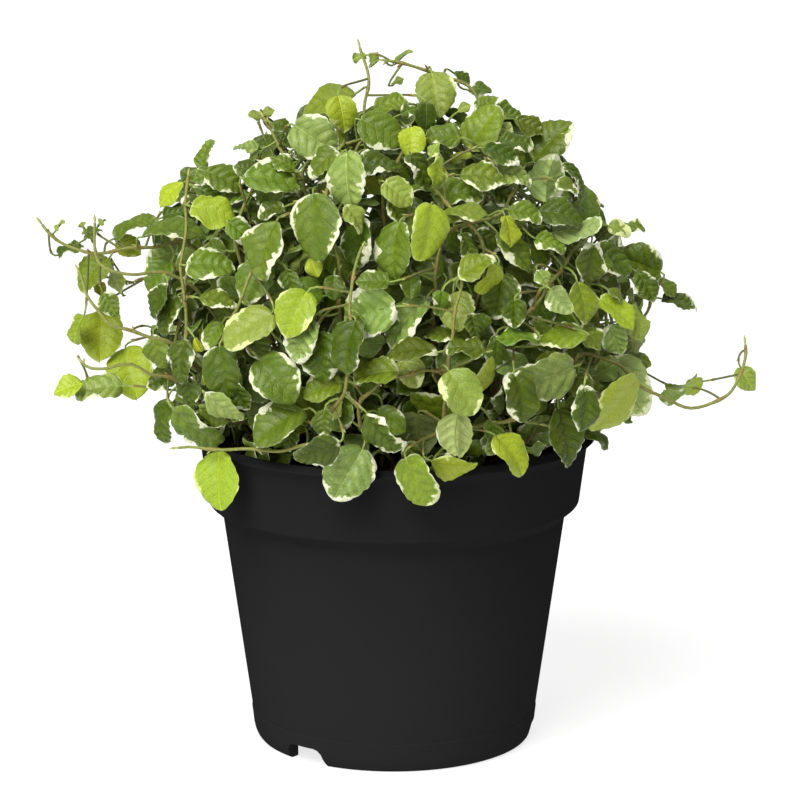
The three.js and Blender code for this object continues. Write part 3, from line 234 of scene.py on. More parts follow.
# Leaves that show, those in front first: seen right, up, length, width, way the tip points in
# degrees, look, then where its edge is cream by the compass (large letters are wide patches)
SEEN_LEAVES = [
    # top
    (-20, 98.5, 16, 8, 200, "B", ""),
    (-15.5, 94.5, 11, 9, -80, "Y", "sw"),
    (-23.5, 87, 15, 13, -35, "G", "n s"),
    (-21.5, 80, 11, 7, 225, "M", "sw"),
    (-16.3, 87.5, 5, 3.5, -80, "Y", ""),
    (-3.5, 89.5, 14, 11, -30, "M", "s"),
    (5.2, 86.2, 9, 8, -90, "Y", "-"),
    (-5, 79.5, 13, 7, 0, "D", "S"),
    (8, 77.5, 11, 6, -65, "D", "W"),
    (13, 77, 9.5, 4.5, -100, "Y", "e"),
    (12.5, 100.5, 13.5, 12, -80, "L", ""),
    (-1, 97.5, 10, 6, 20, "M", ""),
    (4.5, 95.5, 5, 4, 20, "D", ""),
    (7, 94.5, 9, 3.5, 60, "M", ""),
    (14.5, 88, 10, 7, 180, "M", ""),
    (26.5, 91, 15, 11, 55, "B", ""),
    (27.5, 97.5, 8, 5, 40, "M", ""),
    (33.5, 95, 9, 5.5, -10, "M", ""),
    (33, 90, 6, 4, -20, "L", "e"),
    (40.5, 91, 9, 6, -30, "O", ""),
    (36.5, 86, 10, 6, 0, "D", "s"),
    (25.7, 102, 7, 4.5, 0, "D", ""),
    (20.5, 105.5, 6, 3, -35, "D", ""),
    (-6, 111.5, 4, 3, 60, "L", "-"),
    (-10.5, 111.5, 4, 3, 200, "L", "-"),
    (32.5, 82.5, 11, 6, -25, "D", "se"),
    (36, 76.5, 11, 7, -20, "G", "s"),
    (47, 87, 16, 10, 45, "M", "E"),
    (46, 75.5, 14, 11, 80, "P", "SE n"),
    (54, 75.5, 11, 3.5, -55, "D", "s"),
    (50, 64.5, 13, 8, -15, "D", ""),
    (39.5, 65, 10, 6, -20, "M", "s"),
    (34.5, 59.5, 9, 5.5, -80, "Y", "-"),
    (27, 76, 13, 8, -10, "M", "se"),
    (20, 71, 13, 8, 0, "M", "s"),
    (21.5, 65.5, 12, 4.5, 0, "B", ""),
    # upper left
    (-36, 75, 16, 9.5, -12, "M", "NW"),
    (-43.5, 78, 9, 5, 160, "D", ""),
    (-14, 74.5, 16, 10.5, -85, "G", "w e"),
    (-6, 73.3, 8, 5.5, -35, "Y", ""),
    (1.5, 71, 10, 8, -40, "L", "e"),
    (1, 65, 8, 5, -60, "M", "w"),
    (-56, 76.5, 9, 5, 200, "M", "s"),
    (-56.5, 83, 9, 4.5, 70, "M", ""),
    (-66.8, 70.8, 10, 5.5, 225, "Y", ""),
    (-44, 84.8, 8, 3, 180, "G", ""),
    (-36, 87, 8, 4, 40, "D", ""),
    (-33, 90.5, 7, 4, -30, "D", ""),
    (-41.5, 94.2, 4, 3, 160, "L", "-"),
    (-37.5, 95.2, 4, 3, 20, "L", "-"),
    # left, middle height
    (-53.5, 65, 14, 9.5, -20, "Y", ""),
    (-45.5, 59.5, 9, 7, -40, "M", "n s"),
    (-65, 59.7, 19, 6, 0, "M", "s"),
    (-77.5, 61.5, 14, 5, 25, "M", ""),
    (-54.5, 49.5, 14, 9, -5, "M", "s n"),
    (-38.5, 54, 17, 11, -105, "M", "e SE nw"),
    (-42, 44.5, 14, 10.5, -115, "M", ""),
    (-52, 39, 11, 5, -15, "M", "n s"),
    (-44, 30.5, 16, 10.5, 215, "L", "NW s"),
    (-29.5, 34.8, 14, 11.5, -115, "Y", "se"),
    (-27.5, 27, 13, 9, -110, "G", "s w"),
    (-54, 28.5, 9, 6, 240, "M", "w"),
    (-51, 17.5, 15, 11.5, -80, "D", ""),
    (-37, 66, 8, 5, 200, "D", "w"),
    (-70, 52, 9, 7, 200, "G", "w"),
    (-70.5, 46.5, 11, 8, 230, "M", "w"),
    (-70.5, 39, 11, 5.5, 250, "D", ""),
    (-67.5, 34.5, 12, 7, 250, "D", "w"),
    (-68, 28, 10, 4, -25, "D", "n"),
    (-63.5, 20.5, 12.5, 7.5, -95, "D", "w e"),
    (-68.5, 16, 12, 7, 200, "D", ""),
    # far left
    (-79, 55, 8, 7, -30, "Y", ""),
    (-96.5, 54.5, 8, 3.5, 20, "D", ""),
    (-90, 59, 6, 3, 30, "D", ""),
    (-90, 47, 13, 9, 230, "B", ""),
    (-83, 45, 11, 4, -70, "L", ""),
    (-87.3, 29, 15, 14, -90, "Y", ""),
    (-94.5, 30.5, 9, 5, 250, "B", ""),
    (-84.8, 37.5, 8, 6.5, -60, "M", ""),
    (-78.5, 17.5, 15.5, 14, -75, "Y", "e"),
    (-97.5, 13, 9, 6, 200, "Y", ""),
    (-88.5, 13, 14, 8, 190, "G", "s"),
    # middle
    (-23.8, 60.5, 19, 13.5, -85, "M", "nw w e se"),
    (-11, 56, 14, 8.5, -95, "D", "SE w"),
    (-11.5, 63.5, 9, 5, -60, "L", ""),
    (-16.5, 50, 10, 8, -60, "M", ""),
    (-23.8, 48.8, 6, 5, -70, "Y", "-"),
    (-17.8, 42.8, 7, 6, -90, "D", ""),
    (-8.3, 35.5, 15, 14.5, 190, "G", "NW n sw s"),
    (-6.5, 45, 9.5, 6, 180, "M", "n"),
    (0, 53.5, 16, 10, -95, "M", "W"),
    (10, 59, 16, 10, -100, "Y", ""),
    (11, 46.8, 15, 13.5, 120, "G", "W ne e"),
    (5, 43, 6, 6, -90, "D", ""),
    (3, 32.5, 17, 9.5, 235, "G", "nw w SE"),
    (18.7, 36, 10.5, 10.5, -80, "L", ""),
    (24.5, 49.3, 11.5, 6.5, 30, "B", "ne"),
    (28.3, 44.8, 9.5, 4.8, 235, "Y", "-"),
    (31.5, 40, 13, 11, -100, "D", "s"),
    (36.5, 53.5, 14, 7, -50, "M", "SW"),
    (40, 45.5, 13, 5, -30, "M", "s"),
    (44.5, 45.3, 6, 4, -60, "G", ""),
    (28.5, 57, 9, 6, -30, "D", ""),
    (49.5, 38.5, 9, 7, -50, "P", ""),
    (56.5, 38, 12, 8, -80, "B", ""),
    (44.5, 35.5, 10, 7, -60, "D", ""),
    (36, 35, 8, 7, -90, "D", ""),
    (15.5, 28.5, 13, 4, 175, "M", "n s"),
    (21.5, 25, 11, 5, 175, "O", "n"),
    # right
    (55, 60, 14, 6, 10, "P", "s"),
    (58.5, 49.5, 12.5, 8.5, -100, "D", "e ne"),
    (64.5, 51, 14, 9, -20, "D", "nw s"),
    (73, 50, 14, 12, 160, "D", "w s ne"),
    (75.5, 43, 10, 7, -60, "D", ""),
    (67.5, 60.3, 7, 5, -20, "L", "N E S"),
    (81, 43.5, 9, 4, -40, "M", ""),
    (85.5, 38.8, 11, 4.5, -15, "D", "e"),
    (67, 35.5, 13, 7, -40, "Y", ""),
    (72, 32, 11, 7, -60, "L", ""),
    (59, 28, 9, 6, -50, "M", "ne"),
    (66, 27, 9, 8, -70, "G", "nw"),
    (66, 7.5, 20, 10, 230, "Y", "e w"),
    (69.5, 13, 19, 16, -60, "P", "W se"),
    (72, 21.5, 10, 5, -10, "B", ""),
    (105.4, 15.3, 8, 7, -60, "L", ""),
    (86.5, 13, 11, 4, 190, "Y", ""),
    (83, 10.5, 8, 4, 200, "G", ""),
    # low
    (25, 14.5, 16, 5, 45, "Y", ""),
    (7, -15.3, 15, 10.5, -60, "B", "w se"),
    (18, -10.5, 13, 6, -5, "Y", "nw"),
    (-13.8, -13, 16.5, 14, -120, "G", "s"),
    (-23, -6.5, 13, 8, 200, "D", "s"),
    (-69, 3, 13, 6, -95, "D", "w"),
    (-59, 0.5, 17, 8, -35, "M", "ne"),
    (-51, 7, 13, 6, -35, "G", ""),
    (-61, 11, 10, 6, -80, "D", ""),
    (-52.5, -15, 17, 12.5, -88, "Y", "w"),
    (-35, 15.3, 15.5, 13.5, -50, "M", "w e ne"),
    (-35, 2, 17, 11, 215, "M", "NW"),
    (-21.5, 13, 12, 8, 200, "B", ""),
    (-17.5, 6.5, 6, 4, 250, "L", ""),
    (-21, 2, 8, 6, -90, "D", ""),
    (-22, 22, 14, 11, -80, "D", ""),
    (-14, 25, 15, 9, -100, "D", ""),
    (-5.5, 17.5, 13, 7, 190, "B", ""),
    (5, 24, 14, 6, 185, "O", ""),
    (5, 17.5, 9, 8, -60, "L", "se"),
    (-3.5, -1, 14, 7, -45, "D", "n s"),
    (-8.5, -4, 14, 10, -100, "D", ""),
    (7, -0.5, 12, 12.5, -90, "P", ""),
    (18.5, -1.5, 12.5, 10, -90, "P", ""),
    (14, 7.5, 18, 8.5, 175, "B", "nw"),
    (20.5, 11.5, 14, 11.5, -60, "L", "w se"),
    (30.5, 23, 10, 6, -95, "M", ""),
    (44, 15.5, 19, 12.5, 195, "G", "s sw"),
    (49.5, 28, 15, 6, 190, "B", "sw"),
    (54.5, 22, 9, 5, -60, "M", ""),
    (36, 28, 12, 4, 180, "M", ""),
    (38, 10, 14, 10, -80, "D", "nw"),
    (57, 6.5, 13, 8, -95, "D", "w"),
    (51.5, -2, 17, 9.5, -80, "D", ""),
    (25.5, -5, 18, 6, -100, "L", "w e"),
    (29.5, -2.5, 9, 5, -90, "M", ""),
    (35.2, -7, 13, 8, -55, "Y", ""),
]

# Small leaves seen between the others, in the same form
SMALL_LEAVES = [
    (-58.5, 25.5, 4.5, 3, -60, "Y", "-"),
    (-99.8, 61.5, 4, 1.2, 50, "L", "-"),
    (-92.5, 60.5, 4, 1.5, 120, "L", "-"),
    (-87.3, 62.3, 3, 1.5, 40, "L", "-"),
    (-87.8, 42.5, 4.5, 4, -70, "Y", "-"),
    (2.7, 112, 6, 1.6, 40, "L", "-"),
    (20, 82, 6, 3, 20, "Y", "-"),
    (52, 73, 7, 4, -30, "M", "E"),
    (72.5, 61, 5.5, 3.5, -20, "M", "s"),
    (66.3, 40.7, 5.5, 2.5, -40, "M", ""),
    (88.5, 14.7, 6, 1.8, 40, "L", ""),
    (6, -6.5, 7, 5, -40, "D", "s"),
    (12.5, -6, 8, 6, -70, "D", ""),
    (42, -5.3, 7, 3, 10, "D", ""),
    (16.5, -8.5, 6, 3, 10, "G", "N S"),
    (-31, -2, 8, 5, -100, "D", ""),
    (-10, 13, 12, 4, 190, "O", "n"),
    (13.5, 14, 9, 6, -80, "D", ""),
    (56, 13, 9, 7, -80, "O", ""),
    (-54, 4, 9, 5, -30, "O", ""),
    (21, 96.5, 4, 3, 30, "L", "-"),
    (1, 104.3, 4, 2, 30, "L", "-"),
    (12, 84, 5, 3, 60, "L", ""),
    (-30, 66, 9, 6, -60, "D", "s"),
    (-31, 44, 8, 5, -70, "D", "w"),
    (14, 38, 7, 5, -100, "M", "w"),
    (22, 55, 8, 5, -70, "D", "s"),
    (47, 56, 9, 5, -20, "M", "s"),
    (62, 70, 8, 4, -30, "D", "e"),
    (24, 31, 8, 5, -80, "D", ""),
    (-40, 24, 9, 6, -60, "D", "s"),
    (-60, 70, 8, 5, 200, "D", "w"),
    (-33, 80, 8, 5, 150, "M", "n"),
    (2, 76, 8, 5, -80, "D", ""),
    (44, 30, 8, 5, -60, "M", "s"),
    (-12, 30, 9, 6, -100, "D", "w"),
    (-2, 25, 8, 5, -70, "D", "s"),
    (33, 70, 9, 6, -40, "D", "s"),
    (-20, 70, 8, 5, -100, "D", "e"),
    (-48, 70, 9, 5, 190, "M", "n"),
    (60, 20, 9, 6, -70, "D", ""),
    (-46, 10, 9, 6, -60, "D", "s"),
    (-50.5, 75, 12, 8, -30, "M", "s"),
    (-70.5, 23.5, 10, 7, -70, "M", ""),
    (-65, 65, 8, 5, 10, "D", ""),
    (-54, 69.5, 9, 6, -40, "D", ""),
]


def smooth_curve(points, parts):
    """Points on a centripetal curve through the given ones, in even steps along it."""
    points = np.array(points)
    last = len(points) - 1
    padded = np.vstack((2 * points[0] - points[1], points, 2 * points[-1] - points[-2]))

    def place(shares):
        at = np.minimum(shares, 1.0) * last
        first = np.minimum(np.floor(at).astype(int), last - 1)
        w = (at - first)[:, None]
        a, b, c, d = (padded[first + k] for k in range(4))
        gaps = [((q - p) ** 2).sum(1, keepdims=True) ** 0.25 for p, q in ((a, b), (b, c), (c, d))]
        g0, g1, g2 = gaps
        t1 = ((b - a) / g0 - (c - a) / (g0 + g1) + (c - b) / g1) * g1
        t2 = ((c - b) / g1 - (d - b) / (g1 + g2) + (d - c) / g2) * g1
        cubic = (2 * b - 2 * c + t1 + t2) * w**3 + (-3 * b + 3 * c - 2 * t1 - t2) * w**2
        return cubic + t1 * w + b

    shares = np.arange(201) / 200
    dense = place(shares)
    lengths = np.concatenate(([0], np.cumsum(np.linalg.norm(np.diff(dense, axis=0), axis=1))))
    if parts < 1:
        parts = max(3, math.floor(lengths[-1] * parts + 0.5))
    even = np.arange(parts + 1) / parts * lengths[-1]
    return place(np.interp(even, lengths, shares))


def stem_run(x, y, points, step):
    """A stem's run: upright in its hole, then a smooth way through the points."""
    exit_point = np.array((x, y, SOIL_TOP + 1.6))
    foot = np.array((x, y, SOIL_TOP - HOLE_DEPTH + SOIL_GAP))
    return np.vstack((foot, smooth_curve([exit_point, *points], 1 / step)))


def piece_gap(p1, q1, p2, q2):
    """The nearest distances between straight pieces."""
    d1 = q1 - p1
    d2 = q2 - p2
    r = p1 - p2
    a = (d1 * d1).sum(-1)
    e = (d2 * d2).sum(-1)
    f = (d2 * r).sum(-1)
    c = (d1 * r).sum(-1)
    b = (d1 * d2).sum(-1)
    spread = a * e - b * b
    apart = spread > 1e-9
    s = np.where(apart, np.clip((b * f - c * e) / np.where(apart, spread, 1), 0, 1), 0)
    t = (b * s + f) / e
    s = np.where(t < 0, np.clip(-c / a, 0, 1), np.where(t > 1, np.clip((b - c) / a, 0, 1), s))
    t = np.clip(t, 0, 1)
    near = p1 + d1 * s[..., None]
    return np.linalg.norm(near - (p2 + d2 * t[..., None]), axis=-1)


def runs_clear(run, others, gap):
    """Whether a run keeps clear of the others."""
    if not others:
        return True
    starts = np.vstack([other[:-1] for other in others])
    ends = np.vstack([other[1:] for other in others])
    gaps = piece_gap(run[:-1, None], run[1:, None], starts[None], ends[None])
    return bool((gaps >= gap).all())


def dome_point(turn, rise, share):
    """A point on the dome, under its skin."""
    t = math.radians(turn)
    u = math.radians(rise)
    return np.array(
        (
            DOME_X * share * math.cos(u) * math.cos(t),
            DOME_Y * share * math.cos(u) * math.sin(t),
            DOME_Z + DOME_UP * share * math.sin(u),
        )
    )


def make_stems():
    """Every stem's run, those that show first."""
    runs = []
    draw = dice(20731)

    def off(spread):
        return (next(draw) - 0.5) * spread

    for hole, path in SEEN_STEMS:
        shown = [seen_point(*spot) for spot in path]
        for tries in range(STEM_TRIES):
            x = hole[0] + off(0.5) * tries
            y = hole[1] + off(0.5) * tries
            middle = (np.array((x, y, SOIL_TOP)) + shown[0]) / 2
            middle[2] += 3 + off(tries)
            middle[0] += off(tries)
            run = stem_run(x, y, [middle, *shown], SHOWN_STEP)
            if runs_clear(run, runs, STEM_GAP):
                break
        runs.append(run)
    for hole, path in BACK_SPRIGS:
        points = [dome_point(*spot) for spot in path]
        for tries in range(STEM_TRIES):
            x = hole[0] + off(0.5) * tries
            y = hole[1] + off(0.5) * tries
            middle = (np.array((x, y, SOIL_TOP + 4)) + points[0]) / 2
            run = stem_run(x, y, [middle, *points], SHOWN_STEP)
            if runs_clear(run, runs, STEM_GAP):
                runs.append(run)
                break
    for ring in RINGS:
        start, end = ring["climb"]
        for k in range(ring["count"]):
            for tries in range(RING_TRIES):
                turn = ring["start"] + 360 / ring["count"] * k + off(6 + tries)
                soil_turn = math.radians(turn - 10 + off(tries))
                out = ring["soil"] + off(2 + 0.2 * tries)
                x = out * math.cos(soil_turn)
                y = out * math.sin(soil_turn)
                first = dome_point(turn, start, ring["under"])
                points = [(np.array((x, y, SOIL_TOP + ring["lift"])) + first) / 2]
                for i in range(4):
                    share = i / 3
                    rise = start + (end - start) * share
                    weave = ring["drift"] * share + off(WEAVE)
                    points.append(dome_point(turn + weave, rise, ring["under"] + off(0.04)))
                run = stem_run(x, y, points, INNER_STEP)
                if runs_clear(run, runs, STEM_GAP):
                    runs.append(run)
                    break
    return runs


class Leaf:
    """A leaf's own frame, from its middle, way and upper side."""

    def __init__(self, middle, way, upper, length, width, row=None, inner=False):
        self.middle = middle
        self.way = way
        self.upper = upper
        self.across = unit(np.cross(upper, way))
        self.base = middle - way * (length / 2)
        self.elbow = self.base - way * STALK_BACK - upper * 0.3
        self.length = length
        self.width = width
        self.row = row
        self.inner = inner

    def bow(self, share):
        off = share - 0.5
        return -BOW * self.length * (4 * off * off - 0.33)

    def point(self, along, aside):
        flat = self.base + self.way * (self.length * along) + self.across * (self.width * aside)
        return flat + self.upper * self.bow(along)

    def trace(self):
        """Straight pieces round the blade and along it."""
        sides = [(0.1, 0.38), (0.42, 0.5), (0.78, 0.32)]
        left = [self.point(a, w) for a, w in sides]
        right = [self.point(a, -w) for a, w in reversed(sides)]
        tip = self.point(1, 0)
        loop = np.array([self.elbow, *left, tip, *right, self.elbow])
        self.starts = np.vstack((loop[:-1], self.elbow))
        self.ends = np.vstack((loop[1:], tip))


def hits_blade(p, q, blade, slab):
    """Whether straight pieces come too near leaves' blades."""
    base, way, across, upper, length, width = blade
    a = p - base
    b = q - base
    ha = (a * upper).sum(-1)
    hb = (b * upper).sum(-1)
    near = ~(((ha > slab) & (hb > slab)) | ((ha < -slab) & (hb < -slab)))
    steep = np.abs(hb - ha) > 1e-6
    rise = np.where(steep, hb - ha, 1)
    ta = (-slab - ha) / rise
    tb = (slab - ha) / rise
    t0 = np.where(steep, np.maximum(0, np.minimum(ta, tb)), 0)[..., None]
    t1 = np.where(steep, np.minimum(1, np.maximum(ta, tb)), 1)[..., None]
    t = t0 + (t1 - t0) * np.arange(5) / 4
    xa, xb = ((part * way).sum(-1)[..., None] for part in (a, b))
    ya, yb = ((part * across).sum(-1)[..., None] for part in (a, b))
    x = xa + (xb - xa) * t
    y = np.abs(ya + (yb - ya) * t)
    long = np.asarray(length)[..., None]
    off = (x / long - 0.45) / 0.6
    half = 0.5 * np.asarray(width)[..., None] * np.sqrt(np.maximum(0, 1 - off * off))
    inside = (x > -STALK_BACK - 1) & (x < long + 1) & (y < half + 1.2)
    return near & inside.any(-1)


def clear_of_pot(point):
    """Whether a point keeps clear of the pot and the soil."""
    if point[2] > POT_HEIGHT + LIP_RISE + 1.2:
        return True
    out = math.hypot(point[0], point[1])
    if out > LIP_RADIUS - 5:
        drop = POT_HEIGHT - point[2]
        edge = LIP_RADIUS if drop < 3 else COLLAR_TOP_RADIUS
        if drop >= 21:
            edge = COLLAR_FOOT_RADIUS
        return out > edge + 1.3
    return point[2] > SOIL_TOP + 2 and out < COLLAR_FOOT_RADIUS - POT_WALL - 1.2


FOOT_GAP = 2.2
FOOT_SHARES = (0.25, 0.5, 0.75, 0.97)
FEET_TRIED = 14
SLAB = 1.7
STALK_GAP = 1.9
FAR_STALK = 26


class Bush:
    """The stems, and the leaves set on them so far."""

    BLADE = ("base", "way", "across", "upper", "length", "width")
    KEPT = (*BLADE, "middle", "foot", "elbow", "stem", "starts", "ends")

    def __init__(self, stems):
        self.stems = stems
        self.starts = np.vstack([stem[:-1] for stem in stems])
        self.ends = np.vstack([stem[1:] for stem in stems])
        counts = np.array([len(stem) for stem in stems])
        self.owner = np.repeat(np.arange(len(stems)), counts - 1)
        pairs = [pair for stem in stems for pair in zip(stem[1:], stem[2:])]
        self.feet = np.array([a + (b - a) * share for a, b in pairs for share in FOOT_SHARES])
        self.foot_owner = np.repeat(np.arange(len(stems)), (counts - 2) * len(FOOT_SHARES))
        self.leaves = []
        self.table = {}

    def pick(self, mask, *keys):
        return [self.table[key][mask] for key in keys]

    def leaf_clear(self, leaf, slab):
        """Whether a leaf keeps clear of the pot, the stems and the other leaves."""
        for p, q in zip(leaf.starts, leaf.ends):
            if not clear_of_pot(p) or not clear_of_pot((p + q) / 2):
                return False
        reach = leaf.length / 2 + 3
        own = [getattr(leaf, key) for key in self.BLADE]
        near = np.linalg.norm(self.starts - leaf.middle, axis=1) < reach + INNER_STEP + 2
        if hits_blade(self.starts[near], self.ends[near], own, slab).any():
            return False
        if not self.leaves:
            return True
        gap = np.linalg.norm(self.table["middle"] - leaf.middle, axis=1)
        near = gap < reach + self.table["length"] / 2 + 4
        theirs = [value[:, None] for value in self.pick(near, *self.BLADE)]
        if hits_blade(leaf.starts[None], leaf.ends[None], theirs, slab).any():
            return False
        if hits_blade(*self.pick(near, "starts", "ends"), own, slab).any():
            return False
        stalks = self.pick(gap < reach + FAR_STALK, "foot", "elbow")
        return not hits_blade(*stalks, own, slab).any()

    def stalk_clear(self, foot, index, leaf, slab):
        """Whether a leaf's stalk keeps clear of all but the stem that it starts from."""
        other = self.owner != index
        gaps = piece_gap(foot, leaf.elbow, self.starts[other], self.ends[other])
        if (gaps < STALK_GAP * slab / SLAB).any():
            return False
        if self.leaves:
            near = np.linalg.norm(self.table["middle"] - leaf.elbow, axis=1) < 40
            start = foot + (leaf.elbow - foot) * 0.12
            if hits_blade(start, leaf.elbow, self.pick(near, *self.BLADE), slab).any():
                return False
            gaps = piece_gap(foot, leaf.elbow, *self.pick(near, "foot", "elbow"))
            room = np.where(self.table["stem"][near] == index, FOOT_GAP, STALK_GAP)
            if (gaps < room * slab / SLAB).any():
                return False
        return all(clear_of_pot(foot + (leaf.elbow - foot) * i / 4) for i in (1, 2, 3))

    def stem_feet(self, leaf, reach):
        """The best places on the stems for a leaf's stalk, those behind the leaf first."""
        off = self.feet - leaf.elbow
        far = np.linalg.norm(off, axis=1)
        cost = far + 1.2 * np.maximum(0, off @ leaf.way)
        fits = np.flatnonzero((far > 1.6) & (far < reach))
        return fits[np.argsort(cost[fits], kind="stable")][:FEET_TRIED]

    def set_leaf(self, leaf, reach, slab=SLAB):
        """Add a leaf where it and its stalk have room, and say whether that was so."""
        leaf.trace()
        if not self.leaf_clear(leaf, slab):
            return False
        for k in self.stem_feet(leaf, reach):
            if self.stalk_clear(self.feet[k], self.foot_owner[k], leaf, slab):
                leaf.foot = self.feet[k]
                leaf.stem = int(self.foot_owner[k])
                self.leaves.append(leaf)
                for key in self.KEPT:
                    self.table[key] = np.array([getattr(each, key) for each in self.leaves])
                return True
        return False


def seen_leaf(row, deep, inner=False):
    """A leaf from how it is seen, turned or tipped so that its true shape fits.

    It stands so deep behind the front of the dome.
    """
    right, up, long, wide, heading, look, _ = row
    middle = seen_point(right, up, face_depth(right, up) + deep)
    turn = math.radians(heading)
    flat = SEEN_RIGHT * math.cos(turn) + SEEN_UP * math.sin(turn)
    side = SEEN_UP * math.cos(turn) - SEEN_RIGHT * math.sin(turn)
    out = way_out(middle)
    share = wide / (WIDTH_SHARE * long)
    way = flat
    length = long
    width = WIDTH_SHARE * long
    if share < 1:
        roll = min(1.25, math.acos(share))
        sign = -1 if side @ out < 0 else 1
        upper = TO_EYE * math.cos(roll) + side * (sign * math.sin(roll))
    else:
        width = wide
        length = wide / WIDTH_SHARE
        tip = min(1, math.acos(long / length))
        sign = -1 if flat @ out < 0 else 1
        upper = TO_EYE * math.cos(tip) + flat * (sign * math.sin(tip))
        way = flat * math.cos(tip) - TO_EYE * (sign * math.sin(tip))
    if look == "P":
        upper = -upper
    return Leaf(middle, way, upper, length, width, row, inner)


DEPTH_TRIES = (0, 2, -2, 4, -4, 6, -6, 8, 10, -8, 12, 14, -10, 16, 18, 20, -12, -14)
SEEN_REACHES = (20, 30)
SMALL_TRIES = (0, 1, -1, 2, -2, 3, -3, 4, 5, 6, 7, 8, 10, 12)
SMALL_REACHES = (12, 24)
INNER_SLAB = 0.4


def set_rows(bush, rows, reaches, tries, slab):
    """Leaves that show, each at the first free depth behind those in front of it."""
    for row in rows:
        any(bush.set_leaf(seen_leaf(row, push), reach, slab) for reach in reaches for push in tries)


FILL_SHARES = (0.15, 0.6)
FILL_TRIES = 5
FILL_LENGTH = (10, 17)
FILL_TILT = 1.3
FILL_REACH = 16


def fill_leaf(foot, along, side, draw):
    """One leaf beside a stem, facing out of the bush, its tip outwards and down."""
    out = way_out(foot)
    tangent = unit(along)
    across = unit(np.cross(out, tangent))
    way = tangent * (0.2 + 0.6 * next(draw))
    way = way + across * (side * (0.5 + 0.6 * next(draw)))
    way = way - SKY * (0.2 + 0.5 * next(draw))
    way = unit(way + out * (0.1 + 0.3 * next(draw)))
    tilt = np.array((next(draw) - 0.5, next(draw) - 0.5, next(draw) - 0.5)) * FILL_TILT
    upper = out + tilt
    upper = unit(upper - way * (upper @ way))
    length = FILL_LENGTH[0] + (FILL_LENGTH[1] - FILL_LENGTH[0]) * next(draw)
    lift = 3 + 6 * next(draw)
    middle = foot + out * lift + way * (3 + STALK_BACK + length / 2)
    return Leaf(middle, way, upper, length, WIDTH_SHARE * length)


BEHIND = 8
BACK_HALF = (74, 71)
BACK_REACH = 1.07
SIDEWAYS = 0.45


def kept_in(leaf, behind, half, reach):
    """Whether a leaf keeps behind the front, and in the outline of the front and the dome."""
    right, up, deep = seen_from(leaf.middle)
    if deep < face_depth(right, up) + behind:
        return False
    for tip in (leaf.point(1, 0), leaf.point(0.4, 0.5), leaf.point(0.4, -0.5)):
        aside, over, _ = seen_from(tip)
        a = (aside - FACE_MID[0]) / half[0]
        b = (over - FACE_MID[1]) / half[1]
        x = tip[0] / DOME_X
        y = tip[1] / DOME_Y
        z = (tip[2] - DOME_Z) / DOME_UP
        if a * a + b * b >= 1 or x * x + y * y + z * z >= reach * reach:
            return False
    return True


def stem_pieces(stems, first):
    """The straight pieces of every stem, as start and way, from a number on."""
    for stem in stems:
        for i in range(first, len(stem)):
            yield stem[i - 1], stem[i] - stem[i - 1]


def set_fill_leaves(bush):
    """Leaves that fill the back and the sides, in turn to each side along every stem."""
    draw = dice(90121)
    side = 1
    for start, along in stem_pieces(bush.stems, 3):
        for share in FILL_SHARES:
            side = -side
            for _ in range(FILL_TRIES):
                leaf = fill_leaf(start + along * share, along, side, draw)
                sideways = abs(way_out(leaf.middle)[0]) > SIDEWAYS
                if not sideways and seen_from(leaf.middle)[2] <= BEHIND:
                    continue
                if kept_in(leaf, BEHIND, BACK_HALF, BACK_REACH) and bush.set_leaf(leaf, FILL_REACH):
                    break


# Smaller leaves between and behind those of the solids, with less room round them
INNER_HALF = (73, 70)
INNER_DOME = 0.99
INNER_BEHIND = 4
INNER_ROUNDS = 7
INNER_TRIES = 3
SHORT_REACH = 14


def set_inner_leaves(bush):
    """Leaves that close the bush behind the others."""
    draw = dice(33391)
    for _ in range(INNER_ROUNDS):
        for start, along in stem_pieces(bush.stems, 3):
            for side in (-1, 1):
                foot = start + along * next(draw)
                for _ in range(INNER_TRIES):
                    leaf = fill_leaf(foot, along, side, draw)
                    middle = leaf.middle - way_out(leaf.middle) * (1 + 12 * next(draw))
                    size = 0.55 + 0.35 * next(draw)
                    sizes = leaf.length * size, leaf.width * size
                    leaf = Leaf(middle, leaf.way, leaf.upper, *sizes, inner=True)
                    fits = kept_in(leaf, INNER_BEHIND, INNER_HALF, INNER_DOME)
                    if fits and bush.set_leaf(leaf, SHORT_REACH, INNER_SLAB):
                        break


CORE_HALF = (72, 69)
CORE_DOME = 0.93
CORE_BEHIND = 9
CORE_ROUNDS = 4
CORE_TRIES = 5
CORE_SLAB = 0.2
CORE_TILT = 1.4


def set_core_leaves(bush):
    """Leaves in the shade inside, that close the view through the bush."""
    draw = dice(70207)

    def spread():
        return np.array([next(draw) - 0.5 for _ in range(3)])

    for _ in range(CORE_ROUNDS):
        for start, along in stem_pieces(bush.stems, 2):
            foot = start + along * next(draw)
            for _ in range(CORE_TRIES):
                way = unit(spread())
                upper = way_out(foot) + spread() * CORE_TILT
                upper = unit(upper - way * (upper @ way))
                length = 10 + 7 * next(draw)
                middle = foot + way * (4 + length / 2) + upper * 2
                leaf = Leaf(middle, way, upper, length, WIDTH_SHARE * length, inner=True)
                fits = kept_in(leaf, CORE_BEHIND, CORE_HALF, CORE_DOME)
                if fits and bush.set_leaf(leaf, SHORT_REACH, CORE_SLAB):
                    break


